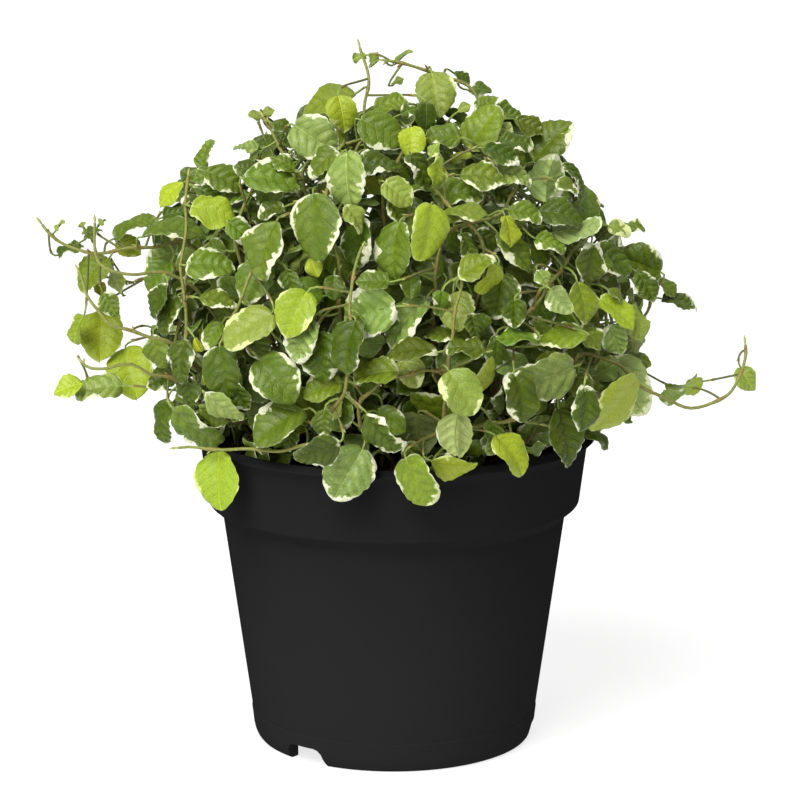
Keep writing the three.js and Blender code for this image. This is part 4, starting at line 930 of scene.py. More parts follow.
# Seen places of see-through gaps, each closed by a leaf in the shade. Another program listed
# them, from a test render set against the photo: they weren't read by hand
SHADE_SPOTS = [
    (-18.1, 58.5), (-23, 93), (-5.7, 56.9), (-36.5, 49.6), (63, 57.6), (-59, 56.4), (5.2, 75.9),
    (16.2, 57.2), (-65.4, 42.4), (-5.5, 5.4), (-48.6, 46.5), (-61, 62.7), (-0.9, 81),
    (-30.3, 66.6), (64, 44.3), (-38.6, 82.2), (-41.5, 13.8), (51.4, 33.5), (-59.4, 5.2),
    (0.4, 43.1), (-58.7, 39.1), (40.8, 59.2), (-27.4, 22.4), (-60.9, 21.2), (6.6, 30.6),
    (-34.4, 54.9), (-29.6, 14.5), (-65.2, 51.4), (58, 63), (30, 84), (-45, 66),
]
SMALL_SHADE_SPOTS = [
    (63.3, 58.2), (59.9, 58), (16, 56.9), (35.5, 91.7), (9.5, 93.8), (-69.3, 57.8), (40.5, 60.4),
    (43.8, 60.9), (-21.5, 45.8), (-32.5, 87.5), (-60.2, 76.1), (-17.7, 59.1), (-63, 71.8),
    (39.5, 82.8), (20, 79.7), (-7.3, 70.3), (-7.5, 66.2), (-30.1, 66.2), (-3.7, 3.3),
    (39.8, 30.6), (-60.8, 28.1), (-60.8, 21.4), (58.1, 57.2), (40.4, 57.4),
]
SHADE_PUSHES = range(8, 92, 3)
SHADE_TURNS = (-90, -30, 30, 150)
SHADE_REACH = 24
SHADE_SIZES = [(SHADE_SPOTS, 13, 10), (SMALL_SHADE_SPOTS, 8, 6.5)]


def set_shade_leaves(bush):
    """Dark leaves deep in the bush, behind the gaps that would show the floor."""
    for spots, long, wide in SHADE_SIZES:
        for spot in spots:
            # All in the darkest look: partly painted shade where the bush is deep
            rows = [(*spot, long, wide, turn, "D", "-") for turn in SHADE_TURNS]
            any(
                bush.set_leaf(seen_leaf(row, push, inner=True), SHADE_REACH, CORE_SLAB)
                for push in SHADE_PUSHES
                for row in rows
            )


# Colours as seen in good light, red green and blue from 0 to 255
LOOKS = {
    "D": (67, 86, 12),
    "M": (88, 109, 25),
    "G": (119, 141, 63),
    "B": (107, 126, 29),
    "L": (124, 141, 54),
    "Y": (146, 163, 38),
    "P": (136, 155, 84),
    "O": (77, 93, 15),
}
YOUTH = {"D": 0.0, "M": 0.1, "G": 0.0, "B": 0.4, "L": 0.65, "Y": 0.9, "P": 0.1, "O": 0.2}
COMPASS = {"e": 0, "ne": 45, "n": 90, "nw": 135, "w": 180, "sw": 225, "s": 270, "se": 315}
STEM_OLD = (116, 104, 54)
STEM_YOUNG = (138, 146, 70)
STEM_NODE = (150, 114, 66)
SHOOT_COLOUR = (112, 118, 56)
STALK_COLOUR = (140, 162, 76)
BUD_COLOUR = (172, 176, 100)


def linear(colour):
    """A colour as light, from red green and blue from 0 to 255."""
    shares = np.array(colour, float) / 255
    return np.where(shares <= 0.04045, shares / 12.92, ((shares + 0.055) / 1.055) ** 2.4)


def new_piece(name, points, faces, materials=()):
    """An object whose mesh has points in millimetres."""
    mesh = bpy.data.meshes.new(name)
    mesh.from_pydata((np.asarray(points) * MM).tolist(), [], faces)
    for material in materials:
        mesh.materials.append(material)
    piece = bpy.data.objects.new(name, mesh)
    bpy.context.collection.objects.link(piece)
    return piece


def smooth(piece, angle):
    """Shade a piece smooth, but for edges sharper than an angle in degrees."""
    piece.data.polygons.foreach_set("use_smooth", [True] * len(piece.data.polygons))
    piece.data.set_sharp_from_angle(angle=math.radians(angle))


def ring_faces(rings, sides, closed=False):
    """Four-sided faces between rings of points that follow one another."""
    faces = []
    for i in range(rings if closed else rings - 1):
        a = i * sides
        b = (i + 1) % rings * sides
        for k in range(sides):
            n = (k + 1) % sides
            faces.append((a + k, a + n, b + n, b + k))
    return faces


class Skin:
    """Points, faces and values that make one mesh."""

    VECTORS = ("spot", "span", "edge")

    def __init__(self):
        self.points = []
        self.faces = []
        self.slots = []
        self.values = {key: [] for key in ("tint", *self.VECTORS)}
        self.count = 0

    def add(self, points, faces, slot, tint, **vectors):
        """Add points and faces, with a colour and any of the vectors at each point."""
        shape = (len(points), 3)
        self.points.append(points)
        self.faces.extend([tuple(corner + self.count for corner in face) for face in faces])
        self.slots.extend([slot] * len(faces))
        self.values["tint"].append(np.broadcast_to(tint, shape))
        for key in self.VECTORS:
            self.values[key].append(vectors.get(key, np.zeros(shape)))
        self.count += len(points)

    def add_rings(self, rings, ends, slot, tints, spots=0):
        """Add rings of points in turn, closed by a point at each end."""
        sides = len(rings[0])
        first = len(rings) * sides
        faces = ring_faces(len(rings), sides)
        for k in range(sides):
            n = (k + 1) % sides
            faces.append((first, n, k))
            faces.append((first + 1, first - sides + k, first - sides + n))
        points = np.vstack((*rings, *ends))
        self.add(points, faces, slot, tints, spot=spots + np.zeros(points.shape))

    def make(self, name, materials, angle):
        points = np.clip(np.vstack(self.points), BOX_LOW, BOX_HIGH)
        piece = new_piece(name, points, self.faces, materials)
        tint = piece.data.attributes.new("tint", "FLOAT_COLOR", "POINT")
        rows = np.vstack(self.values["tint"])
        rows = np.hstack((rows, np.ones((self.count, 1))))
        tint.data.foreach_set("color", rows.ravel().astype(np.float32))
        for key in self.VECTORS:
            layer = piece.data.attributes.new(key, "FLOAT_VECTOR", "POINT")
            rows = np.vstack(self.values[key])
            layer.data.foreach_set("vector", rows.ravel().astype(np.float32))
        piece.data.polygons.foreach_set("material_index", self.slots)
        smooth(piece, angle)
        piece.data.update()
        return piece


def shell_faces(rows, cols):
    """Faces of a closed thin sheet: an upper and an under grid and the rim between them."""
    wide = cols + 1
    under = (rows + 1) * wide
    faces = []
    for i in range(rows):
        for j in range(cols):
            a = i * wide + j
            faces.append((a, a + wide, a + wide + 1, a + 1))
            faces.append((a + under, a + 1 + under, a + wide + 1 + under, a + wide + under))
    for i in range(rows):
        a = i * wide
        b = a + cols
        faces.append((a, a + under, a + wide + under, a + wide))
        faces.append((b, b + wide, b + wide + under, b + under))
    for j in range(cols):
        b = rows * wide + j
        faces.append((j, j + 1, j + 1 + under, j + under))
        faces.append((b, b + under, b + 1 + under, b + 1))
    return faces


# Half the width of a blade from its stalk to its tip
OUTLINE_AT = [0, 0.03, 0.08, 0.16, 0.27, 0.38, 0.5, 0.62, 0.74, 0.85, 0.93, 0.975, 1]
OUTLINE_HALF = [0.2, 0.44, 0.65, 0.82, 0.94, 1.0, 0.995, 0.94, 0.83, 0.65, 0.45, 0.27, 0.05]
BLADE_THICK = 0.3
GRIDS = {"seen": (24, 12), "fill": (15, 8), "inner": (9, 6)}
SHELLS = {key: shell_faces(*size) for key, size in GRIDS.items()}
VEINS = 5.0


def outline_gap(x, y, rim):
    """How far flat points lie from a closed outline."""
    start = rim
    end = np.roll(rim, -1, axis=0)
    way = end - start
    spots = np.stack((x.ravel(), y.ravel()), 1)[:, None]
    share = ((spots - start) * way).sum(2) / np.maximum(1e-9, (way * way).sum(1))
    nearest = start + way * np.clip(share, 0, 1)[..., None]
    return np.linalg.norm(spots - nearest, axis=2).min(1).reshape(x.shape)


# How wide cream patches reach in, and how far along the edge, in millimetres and radians
WIDE_PATCH = ((2.0, 3.0), (0.4, 0.65))
PATCH = ((1.0, 1.7), (0.3, 0.55))
STRAY_SPREAD = (0.2, 0.5)
PATCH_TURN = 12


def cream_width(leaf, x, y, lobe, rng, look, cream):
    """How far the cream reaches in from the edge at each flat point of a blade."""
    reach = np.zeros(x.shape)
    patches = []
    if leaf.row is not None:
        right = (x - leaf.length / 2) * (leaf.way @ SEEN_RIGHT) + y * (leaf.across @ SEEN_RIGHT)
        up = (x - leaf.length / 2) * (leaf.way @ SEEN_UP) + y * (leaf.across @ SEEN_UP)
        turn = np.arctan2(up, right)
        for mark in [] if cream == "-" else cream.split():
            centre = math.radians(COMPASS[mark.lower()] + rng.uniform(-PATCH_TURN, PATCH_TURN))
            sizes, spreads = WIDE_PATCH if mark.isupper() else PATCH
            patches.append((centre, rng.uniform(*sizes), rng.uniform(*spreads)))
        more = 0 if cream == "-" else int(rng.integers(1, 5))
        most = 0.9
    else:
        turn = np.arctan2(y, x - leaf.length / 2)
        more = int(rng.integers(0, 3)) if leaf.inner else int(rng.integers(2, 6))
        most = 1.3
    for _ in range(more):
        size = (0.3 + most * rng.random() ** 1.5) * (1 - 0.5 * YOUTH[look])
        centre = rng.uniform(-math.pi, math.pi)
        patches.append((centre, size, rng.uniform(*STRAY_SPREAD)))
    for centre, size, spread in patches:
        off = (turn - centre + math.pi) % (2 * math.pi) - math.pi
        reach = np.maximum(reach, size * np.exp(-(np.abs(off / spread) ** 3)))
    return reach * (0.65 + 0.65 * lobe**2)


FILL_LOOKS = list("DDMMMMGGBBLYO")
# Looks for the leaves inside, mostly the darkest: partly painted shade deep in the bush
INNER_LOOKS = list("DDDMMMMG")
NOTCH_DEPTH = 0.085
TIP_FALL = 2.0
RIB_WIDE = 0.09
TINT_SPREAD = 0.14
HUE_SPREAD = 0.06


def add_leaf(skin, leaf, index):
    """A fine blade in place of a leaf: heart-shaped, puckered between its veins, closed."""
    rng = np.random.default_rng(4100 + index)
    if leaf.row is not None:
        look, cream = leaf.row[5], leaf.row[6]
    else:
        look = rng.choice(INNER_LOOKS if leaf.inner else FILL_LOOKS)
        cream = ""
    size = "fill" if leaf.row is None or leaf.length < 8 else "seen"
    size = "inner" if leaf.inner else size
    rows, cols = GRIDS[size]
    youth = YOUTH[look]
    length, width = leaf.length, leaf.width

    # The outline: s runs from the stalk to the tip and t from side to side
    even = np.linspace(0, 1, rows + 1)
    s = (0.55 * even + 0.45 * (0.5 - 0.5 * np.cos(math.pi * even)))[:, None]
    t = np.linspace(-1, 1, cols + 1)[None, :]
    half = np.interp(s, OUTLINE_AT, OUTLINE_HALF)
    half = half * (1 - rng.uniform(0.0, TIP_FALL) * np.maximum(0, s - 0.6) ** 2)
    lean = rng.uniform(-0.05, 0.05)
    crenate = np.abs(np.sin(s * rng.uniform(15, 21) + rng.uniform(0, 3) + 1.2 * np.sign(t)))
    lobe = crenate ** 0.7 * np.ones_like(t)
    notch = 1 + NOTCH_DEPTH * (lobe - 0.75) * np.clip((np.abs(t) - 0.5) * 2, 0, 1)
    wander = 1 + 0.05 * np.sin(s * 5 + rng.uniform(0, 6)) * t
    y = 0.5 * width * t * half * notch * wander
    y = y + lean * width * np.sin(math.pi * s) * (1 - np.abs(t) * 0.3)
    x = length * (s - 0.045 * rng.random() * (1 - s) ** 3 * np.abs(t) ** 1.6)

    # The relief: swollen between the veins, folded along the rib, bowed and wavy at the edge
    aside = np.abs(y)
    vein = (x - 0.5 * aside - 0.04 * aside**2) / (length / VEINS) + 0.35
    vein = vein + rng.uniform(0.2, 0.6) * (t > 0)
    vein = vein + 0.12 * np.sin(x * rng.uniform(0.5, 0.9) + y * rng.uniform(-0.6, 0.6))
    rib = 1 - np.exp(-((aside / (RIB_WIDE * width)) ** 2))
    swell = np.abs(np.sin(math.pi * vein)) * rib * (1 - 0.5 * t**4)
    pucker = (1.15 - 0.6 * youth) * min(1, length / 13) * rng.uniform(0.7, 1.3)
    fold = rng.uniform(0.05, 0.28)
    bow = np.array(leaf.bow(s)) * rng.uniform(0.7, 1.8)
    wave = np.sin(s * rng.uniform(6, 10) + rng.uniform(0, 6) + 1.3 * np.sign(t)) * t**2
    droop = rng.uniform(0.0, 0.06) * length * s**3
    rise = bow + pucker * swell + fold * aside - droop
    rise = rise + wave * rng.uniform(0.4, 1.1) - 0.05 * width * np.abs(t) ** 3
    if leaf.row is not None:
        rise = rise - rise.mean()
    flat = leaf.base + x[..., None] * leaf.way + y[..., None] * leaf.across
    upper = flat + rise[..., None] * leaf.upper
    thick = BLADE_THICK * (1 - 0.5 * np.abs(t) ** 4) * np.ones_like(x)
    under = upper - thick[..., None] * leaf.upper

    # Values for the material: flat place, distance from the edge, cream, vein and side
    sides = [
        (slice(None), 0),
        (-1, slice(1, None)),
        (slice(-2, None, -1), -1),
        (0, slice(-2, 0, -1)),
    ]
    rim = np.vstack([np.stack((x[side], y[side]), 1) for side in sides])
    gap = outline_gap(x, y, rim)
    reach = cream_width(leaf, x, y, lobe, rng, look, cream)
    one = np.ones_like(x)
    seed = 40.0 * rng.random()
    shade = rng.uniform(1 - TINT_SPREAD, 1 + TINT_SPREAD)
    tint = linear(LOOKS[look]) * shade * (1 + rng.uniform(-HUE_SPREAD, HUE_SPREAD, 3))

    def rows_of(*values):
        return np.stack([value * one for value in values], 2).reshape(-1, 3)

    skin.add(
        np.vstack((upper.reshape(-1, 3), under.reshape(-1, 3))),
        SHELLS[size],
        0,
        tint,
        spot=np.tile(rows_of(x, y, seed), (2, 1)),
        span=np.vstack([rows_of(youth, side, aside) for side in (0, 1)]),
        edge=np.tile(rows_of(gap, reach, vein), (2, 1)),
    )
    return under[:, cols // 2], upper[0, cols // 2]


def tube(skin, points, radii, sides, tints, slot=1):
    """A closed round tube through points, with a radius and a colour at each."""
    points = np.asarray(points, float)
    count = len(points)
    ways = np.gradient(points, axis=0)
    ways /= np.linalg.norm(ways, axis=1, keepdims=True)
    side = np.array((0.0, 1.0, 0.0) if abs(ways[0][0]) > 0.9 else (1.0, 0.0, 0.0))
    turns = np.arange(sides) / sides * 2 * math.pi
    rings = []
    for point, way, radius in zip(points, ways, radii):
        side = unit(side - way * (side @ way))
        ring = np.cos(turns)[:, None] * side + np.sin(turns)[:, None] * np.cross(way, side)
        rings.append(point + ring * radius)
    ends = [points[0] - ways[0] * radii[0] * 0.4, points[-1] + ways[-1] * radii[-1] * 0.8]
    tints = np.broadcast_to(tints, (count, 3))
    colours = np.vstack((np.repeat(tints, sides, axis=0), tints[0], tints[-1]))
    steps = np.linalg.norm(np.diff(points, axis=0), axis=1)
    spots = np.zeros((count * sides + 2, 3))
    spots[:-2, 0] = np.repeat(np.concatenate(([0], np.cumsum(steps))), sides)
    spots[:-2, 1] = np.tile(turns, count)
    skin.add_rings(rings, ends, slot, colours, spots)


def bezier(a, b, c, d, parts):
    """Points of a curve from a to d, drawn towards b and c."""
    t = np.linspace(0, 1, parts + 1)[:, None]
    return a * (1 - t) ** 3 + 3 * b * t * (1 - t) ** 2 + 3 * c * t**2 * (1 - t) + d * t**3


SHOOT_REACH = 9
NEARER = 0.7
SHOOT_NODE = 4.5
NODE_GAP = 7
STALK_RADII = (0.38, 0.3)
RIB_RADII = (0.26, 0.07)
RIB_SHARE = 0.85


def add_stalk(skin, leaf, root, underside, index, stem):
    """A stalk from the stem to a blade, going on as the raised rib under it.

    A long one is a thin side shoot that ends in the leaf's own short stalk, and it starts where
    the stem comes much nearer, if there is such a place.
    """
    rng = np.random.default_rng(7700 + index)
    foot = leaf.foot
    reach = np.linalg.norm(root - foot)
    gaps = np.linalg.norm(stem - leaf.elbow, axis=1)
    if reach > SHOOT_REACH and gaps.min() < NEARER * reach:
        foot = stem[int(np.argmin(gaps))]
        reach = np.linalg.norm(root - foot)
    sag = SKY * (0.1 * reach * rng.uniform(-0.5, 1))
    first = foot + (leaf.elbow - foot) * 0.4 + sag
    second = root - leaf.way * min(3.5, 0.4 * reach)
    parts = max(4, min(10, int(reach / 1.8)))
    way = bezier(foot, first, second, root - leaf.upper * 0.2, parts)
    leafy = linear(STALK_COLOUR) * rng.uniform(0.8, 1.15)
    tints = np.tile(leafy, (parts + 1, 1))
    radii = np.linspace(*STALK_RADII, parts + 1)
    if reach > SHOOT_REACH:
        apart = np.linalg.norm(way - root, axis=1)
        tints[apart > SHOOT_NODE] = linear(SHOOT_COLOUR)
        node = int(np.argmin(np.abs(apart - SHOOT_NODE)))
        tints[node] = linear(STEM_NODE) * 0.6 + linear(SHOOT_COLOUR) * 0.4
        radii[node] *= 1.35
        lean = unit(way[node] - way[node - 1] + 0.7 * unit(rng.normal(size=3)))
        add_bud(skin, way[node], lean, rng.uniform(1.6, 2.6), 0.32, linear(BUD_COLOUR))
    tube(skin, way, radii, 5, tints)
    if not leaf.inner:
        rib = underside[: int(len(underside) * RIB_SHARE)] - leaf.upper * 0.02
        tube(skin, rib, np.linspace(*RIB_RADII, len(rib)), 4, leafy * 0.95)


def add_bud(skin, point, way, length, thick, tint):
    """A small pointed bud or scale."""
    shares = np.linspace(0, 1, 6)
    radii = thick * np.sin(math.pi * (0.12 + 0.86 * shares)) ** 0.8
    tube(skin, point + shares[:, None] * way * length, radii, 5, tint)


def add_stem(skin, run, feet, index, shown):
    """A round stem, swollen and orange-brown at its nodes, paler towards its tip.

    Returns the points along its middle.
    """
    rng = np.random.default_rng(9100 + index)
    fine = np.vstack((run[0], smooth_curve(run[1:], 0.5)))
    along = np.linspace(0, 1, len(fine))
    waves = [np.sin(along * rng.uniform(25, 50) + rng.uniform(0, 6)) for _ in range(3)]
    fine[2:] += 0.35 * np.stack(waves, 1)[2:]
    bud = 3.0 if shown else 2.0
    tip_way = unit(fine[-1] - fine[-3])
    fine[-1] = fine[-1] - tip_way * bud
    keep = (fine - fine[-1]) @ tip_way < 0.2
    keep[-1] = True
    keep[:-4] = True
    fine = fine[keep]
    along = along[keep]
    old = linear(STEM_OLD)
    young = linear(STEM_YOUNG)
    mix = np.clip(along * 1.5 - 0.35, 0, 1)[:, None]
    tints = old * (1 - mix) + young * mix
    radii = (0.66 - 0.24 * along) * np.ones(len(fine))

    def nearest(spot):
        return int(np.argmin(np.linalg.norm(fine - spot, axis=1)))

    nodes = []
    for foot in sorted(feet, key=nearest):
        if all(np.linalg.norm(foot - node) > NODE_GAP for node in nodes):
            nodes.append(foot)
    for node in nodes:
        gap = np.linalg.norm(fine - node, axis=1)
        swell = np.exp(-((gap / 1.2) ** 2))
        radii = np.maximum(radii, radii * (1 + 0.55 * swell))
        share = (0.6 * swell)[:, None]
        tints = tints * (1 - share) + linear(STEM_NODE) * share
    tube(skin, fine, radii, 7, tints)
    for node in nodes:
        near = nearest(node)
        way = unit(fine[min(near + 1, len(fine) - 1)] - fine[near - 1])
        lean = unit(way + 0.8 * unit(rng.normal(size=3)))
        size = rng.uniform(1.4, 2.8) if shown else 1.6
        tint = linear(BUD_COLOUR if rng.random() < 0.6 else STEM_NODE)
        add_bud(skin, fine[near] + lean * 0.2, lean, size, 0.34, tint)
    add_bud(skin, fine[-1], tip_way, bud, 0.42, linear(BUD_COLOUR))
    return fine


def make_vines(bush, materials):
    """One piece for every leafy stem."""
    groups = [[] for _ in bush.stems]
    for index, leaf in enumerate(bush.leaves):
        groups[leaf.stem].append((index, leaf))
    for number, (run, group) in enumerate(zip(bush.stems, groups)):
        skin = Skin()
        shown = number < len(SEEN_STEMS) + len(BACK_SPRIGS)
        feet = [leaf.foot for _, leaf in group if not leaf.inner]
        stem = add_stem(skin, run, feet, number, shown)
        for index, leaf in group:
            underside, root = add_leaf(skin, leaf, index)
            add_stalk(skin, leaf, root, underside, index, stem[3:])
        name = f"vine_{number + 1:02d}"
        piece = skin.make(f"{name}_fine", materials, 58)
        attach(piece, "root")
        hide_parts(name)


def arc(centre, radius, start, end, parts):
    """Points of a rounding in a profile."""
    turns = np.radians(np.linspace(start, end, parts + 1))
    return [(centre[0] + radius * math.cos(t), centre[1] + radius * math.sin(t)) for t in turns]


def pot_profile():
    """The pot's section, going up outside and down inside."""
    step_z = POT_HEIGHT - 23.4
    top = POT_HEIGHT + LIP_RISE
    seam = BODY_FOOT_RADIUS + 1.1
    outside = [
        (FOOT_INNER_RADIUS, 0.3),
        (FOOT_INNER_RADIUS + 0.4, 0),
        (BODY_FOOT_RADIUS - 1.8, 0),
        (BODY_FOOT_RADIUS - 1.1, 0.3),
        (BODY_FOOT_RADIUS - 0.4, 1.2),
        (BODY_FOOT_RADIUS + 0.2, 2.6),
        (BODY_FOOT_RADIUS + 0.55, 4.2),
        (seam - 0.04, SEAM_Z - 0.2),
        (seam - 0.02, SEAM_Z),
        (seam - 0.2, SEAM_Z + 0.25),
        (BODY_TOP_RADIUS - 0.15, step_z - 0.9),
        *arc((BODY_TOP_RADIUS + 0.75, step_z - 0.9), 0.9, 180, 130, 4),
        (COLLAR_FOOT_RADIUS - 0.75, POT_HEIGHT - 20.8),
        *arc((COLLAR_FOOT_RADIUS - 1.3, POT_HEIGHT - 19.6), 1.3, -60, 0, 6),
        (COLLAR_TOP_RADIUS - 0.1, POT_HEIGHT - 3.4),
        (COLLAR_TOP_RADIUS + 0.15, POT_HEIGHT - 2.7),
        (LIP_RADIUS - 0.35, POT_HEIGHT - 0.6),
        (LIP_RADIUS - 0.05, POT_HEIGHT - 0.35),
        (LIP_RADIUS, POT_HEIGHT - 0.1),
        (LIP_RADIUS - 0.15, POT_HEIGHT + 0.15),
        (LIP_RADIUS - 0.5, POT_HEIGHT + 0.35),
        (COLLAR_TOP_RADIUS + 0.4, top - 0.12),
    ]
    inside = [
        (COLLAR_TOP_RADIUS - 0.1, top - 0.02),
        (COLLAR_TOP_RADIUS - POT_WALL + 0.4, top - 0.3),
        (COLLAR_TOP_RADIUS - POT_WALL, top - 0.9),
        (COLLAR_TOP_RADIUS - POT_WALL - 0.4, POT_HEIGHT - 2.4),
        (COLLAR_FOOT_RADIUS - POT_WALL, POT_HEIGHT - 20.2),
        (BODY_TOP_RADIUS - POT_WALL, step_z - 0.6),
        (BODY_FOOT_RADIUS - 1.1, FLOOR_TOP),
        (0.01, FLOOR_TOP),
        (0.01, FLOOR_UNDER),
        (FOOT_INNER_RADIUS + 0.6, FLOOR_UNDER),
    ]
    return outside + inside


def prism(name, corners, low, high):
    """A cutting form: flat corners (y, z) pushed along X from low to high."""
    count = len(corners)
    points = [(x, y, z) for x in (low, high) for y, z in corners]
    faces = [tuple(range(count))[::-1], tuple(range(count, 2 * count))]
    for k in range(count):
        n = (k + 1) % count
        faces.append((k, n, count + n, count + k))
    return new_piece(name, points, faces)


def cut(piece, cutter):
    """Take a cutter's form out of a piece."""
    step = piece.modifiers.new("cut", "BOOLEAN")
    step.operation = "DIFFERENCE"
    step.solver = "EXACT"
    step.object = cutter
    bpy.context.view_layer.update()
    depsgraph = bpy.context.evaluated_depsgraph_get()
    mesh = bpy.data.meshes.new_from_object(piece.evaluated_get(depsgraph))
    piece.modifiers.clear()
    piece.data = mesh
    bpy.data.objects.remove(cutter)


POT_SIDES = 128
DRILL_SIDES = 24
SOIL_SIDES = 96
SOIL_RINGS = 34
SOIL_ROOM = 0.6
EDGE_DIP = 0.4
SOIL_COLOUR = (58, 41, 27)
CRUMB_COLOUR = (78, 56, 37)
CRUMBS = 420
CRUMB_GAP = 2.5


def make_pot(material):
    """The nursery pot: lip, collar, tapered body, foot ring with notches, drained floor."""
    profile = pot_profile()
    turns = [2 * math.pi * k / POT_SIDES for k in range(POT_SIDES)]
    points = [(r * math.cos(turn), r * math.sin(turn), z) for r, z in profile for turn in turns]
    faces = ring_faces(len(profile), POT_SIDES, closed=True)
    pot = new_piece("nursery_pot", points, faces, [material])
    half = NOTCH_WIDTH / 2
    top = NOTCH_HEIGHT
    arch = [(half + 1, -2), (half - 1, top - 1.4), (half - 2, top - 0.4), (half - 3.4, top),
            (-half + 4.4, top), (-half + 3, top - 0.8), (-half + 2.4, top - 2.2), (-half + 2, -2)]
    for turn in NOTCH_TURNS:
        cutter = prism("notch", arch, 34, 46)
        cutter.rotation_euler[2] = math.radians(turn)
        cut(pot, cutter)
    drill_turns = [k * 2 * math.pi / DRILL_SIDES for k in range(DRILL_SIDES)]
    ring = [(DRAIN_RADIUS * math.cos(turn), DRAIN_RADIUS * math.sin(turn)) for turn in drill_turns]
    for turn in DRAIN_TURNS:
        angle = math.radians(turn)
        drill = prism("drill", ring, -3, 3)
        drill.rotation_euler[1] = math.radians(90)
        spot = (DRAIN_OFFSET * math.cos(angle), DRAIN_OFFSET * math.sin(angle), 7.2)
        drill.location = [value * MM for value in spot]
        cut(pot, drill)
    smooth(pot, 32)
    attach(pot, "root")
    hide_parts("pot")


def make_soil(stems, material):
    """A crumbly plug of soil in the pot."""
    rng = np.random.default_rng(515)
    skin = Skin()
    edge = COLLAR_FOOT_RADIUS - POT_WALL - SOIL_ROOM
    foot = FLOOR_TOP + SOIL_ROOM
    wall = [
        (0.8, foot),
        (BODY_FOOT_RADIUS - 1.7, foot),
        (BODY_TOP_RADIUS - POT_WALL - SOIL_ROOM, POT_HEIGHT - 24.6),
        (edge, POT_HEIGHT - 20.8),
    ]
    turns = 2 * math.pi * np.arange(SOIL_SIDES) / SOIL_SIDES
    across = np.stack((np.cos(turns), np.sin(turns), np.zeros(SOIL_SIDES)), 1)
    rings = [across * radius + SKY * height for radius, height in wall]
    for share in np.linspace(1, 0.03, SOIL_RINGS):
        ring = across * (edge * share) + SKY * SOIL_TOP
        x, y = ring[:, 0], ring[:, 1]
        lump = 0.45 * np.sin(x * 0.61 + 1.7 * np.sin(y * 0.43)) * np.cos(y * 0.55)
        ring[:, 2] += lump + rng.normal(size=SOIL_SIDES) * 0.35
        rings.append(ring)
    rings[len(wall)][:, 2] -= EDGE_DIP
    skin.add_rings(rings, [SKY * foot, SKY * SOIL_TOP], 0, linear(SOIL_COLOUR))
    holes = np.array([stem[0][:2] for stem in stems])
    for _ in range(CRUMBS):
        radius = (edge - 3) * math.sqrt(rng.random())
        turn = rng.uniform(0, 2 * math.pi)
        spot = np.array((radius * math.cos(turn), radius * math.sin(turn)))
        if np.linalg.norm(holes - spot, axis=1).min() >= CRUMB_GAP:
            add_crumb(skin, np.array((*spot, SOIL_TOP + 0.4)), rng)
    piece = skin.make("soil_fine", [material], 40)
    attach(piece, "root")
    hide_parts("soil")


def add_crumb(skin, point, rng):
    """A small rough crumb of bark or peat."""
    size = rng.uniform(0.5, 1.5)
    way = unit(rng.normal(size=3))
    shares = np.linspace(0, 1, 4)
    radii = size * np.array((0.45, 0.9, 0.8, 0.35)) * rng.uniform(0.7, 1.3, 4)
    shade = linear(CRUMB_COLOUR) * rng.uniform(0.5, 1.9)
    length = size * rng.uniform(1.2, 2.4)
    tube(skin, point + (shares[:, None] - 0.5) * way * length, radii, 5, shade, slot=0)


class Graph:
    """A material's nodes, made in short calls."""

    def __init__(self, name):
        self.material = bpy.data.materials.new(name)
        self.material.use_nodes = True
        self.tree = self.material.node_tree
        self.tree.nodes.clear()

    def node(self, kind, inputs=None, **settings):
        made = self.tree.nodes.new(kind)
        for key, value in settings.items():
            setattr(made, key, value)
        for key, value in (inputs or {}).items():
            self.feed(made.inputs[key], value)
        return made

    def feed(self, socket, value):
        if isinstance(value, bpy.types.NodeSocket):
            self.tree.links.new(value, socket)
        else:
            socket.default_value = value

    def calc(self, operation, *values):
        inputs = dict(enumerate(values))
        return self.node("ShaderNodeMath", inputs, operation=operation).outputs[0]

    def add(self, one, other):
        return self.calc("ADD", one, other)

    def less(self, one, other):
        return self.calc("SUBTRACT", one, other)

    def times(self, one, other):
        return self.calc("MULTIPLY", one, other)

    def ramp(self, value, low, high, start=0.0, end=1.0):
        inputs = {"Value": value, "From Min": low, "From Max": high, "To Min": start, "To Max": end}
        made = self.node("ShaderNodeMapRange", inputs, interpolation_type="SMOOTHSTEP")
        return made.outputs[0]

    def mix(self, share, one, other, blend="MIX"):
        made = self.node("ShaderNodeMix", data_type="RGBA", blend_type=blend)
        self.feed(made.inputs[0], share)
        self.feed(made.inputs[6], one)
        self.feed(made.inputs[7], other)
        return made.outputs[2]

    def toned(self, one, red, green, blue):
        """A colour with its red, green and blue each times a number."""
        return self.mix(1.0, one, (red, green, blue, 1.0), "MULTIPLY")

    def attribute(self, name):
        output = "Color" if name == "tint" else "Vector"
        return self.node("ShaderNodeAttribute", attribute_name=name).outputs[output]

    def apart(self, vector):
        """The three numbers of a vector."""
        return self.node("ShaderNodeSeparateXYZ", {0: vector}).outputs

    def place(self):
        return self.node("ShaderNodeTexCoord").outputs["Object"]

    def bump(self, height, distance, strength):
        inputs = {"Height": height, "Distance": distance, "Strength": strength}
        return self.node("ShaderNodeBump", inputs).outputs[0]

    def noise(self, vector, scale, detail=2.0, rough=0.5):
        inputs = {"Vector": vector, "Scale": scale, "Detail": detail, "Roughness": rough}
        return self.node("ShaderNodeTexNoise", inputs).outputs["Fac"]

    def finish(self, inputs):
        shader = self.node("ShaderNodeBsdfPrincipled", inputs)
        output = self.node("ShaderNodeOutputMaterial")
        self.tree.links.new(shader.outputs[0], output.inputs[0])
        return self.material


def colour(values):
    """A shader's colour, from red green and blue from 0 to 255."""
    return (*linear(values), 1.0)


# Leaf colours that don't go by the look
CREAM = (222, 222, 196)
CREAM_DEEP = (200, 206, 162)
YOUNG_MARGIN = (198, 208, 116)
BAND = (168, 186, 112)
UNDERSIDE = (134, 152, 84)


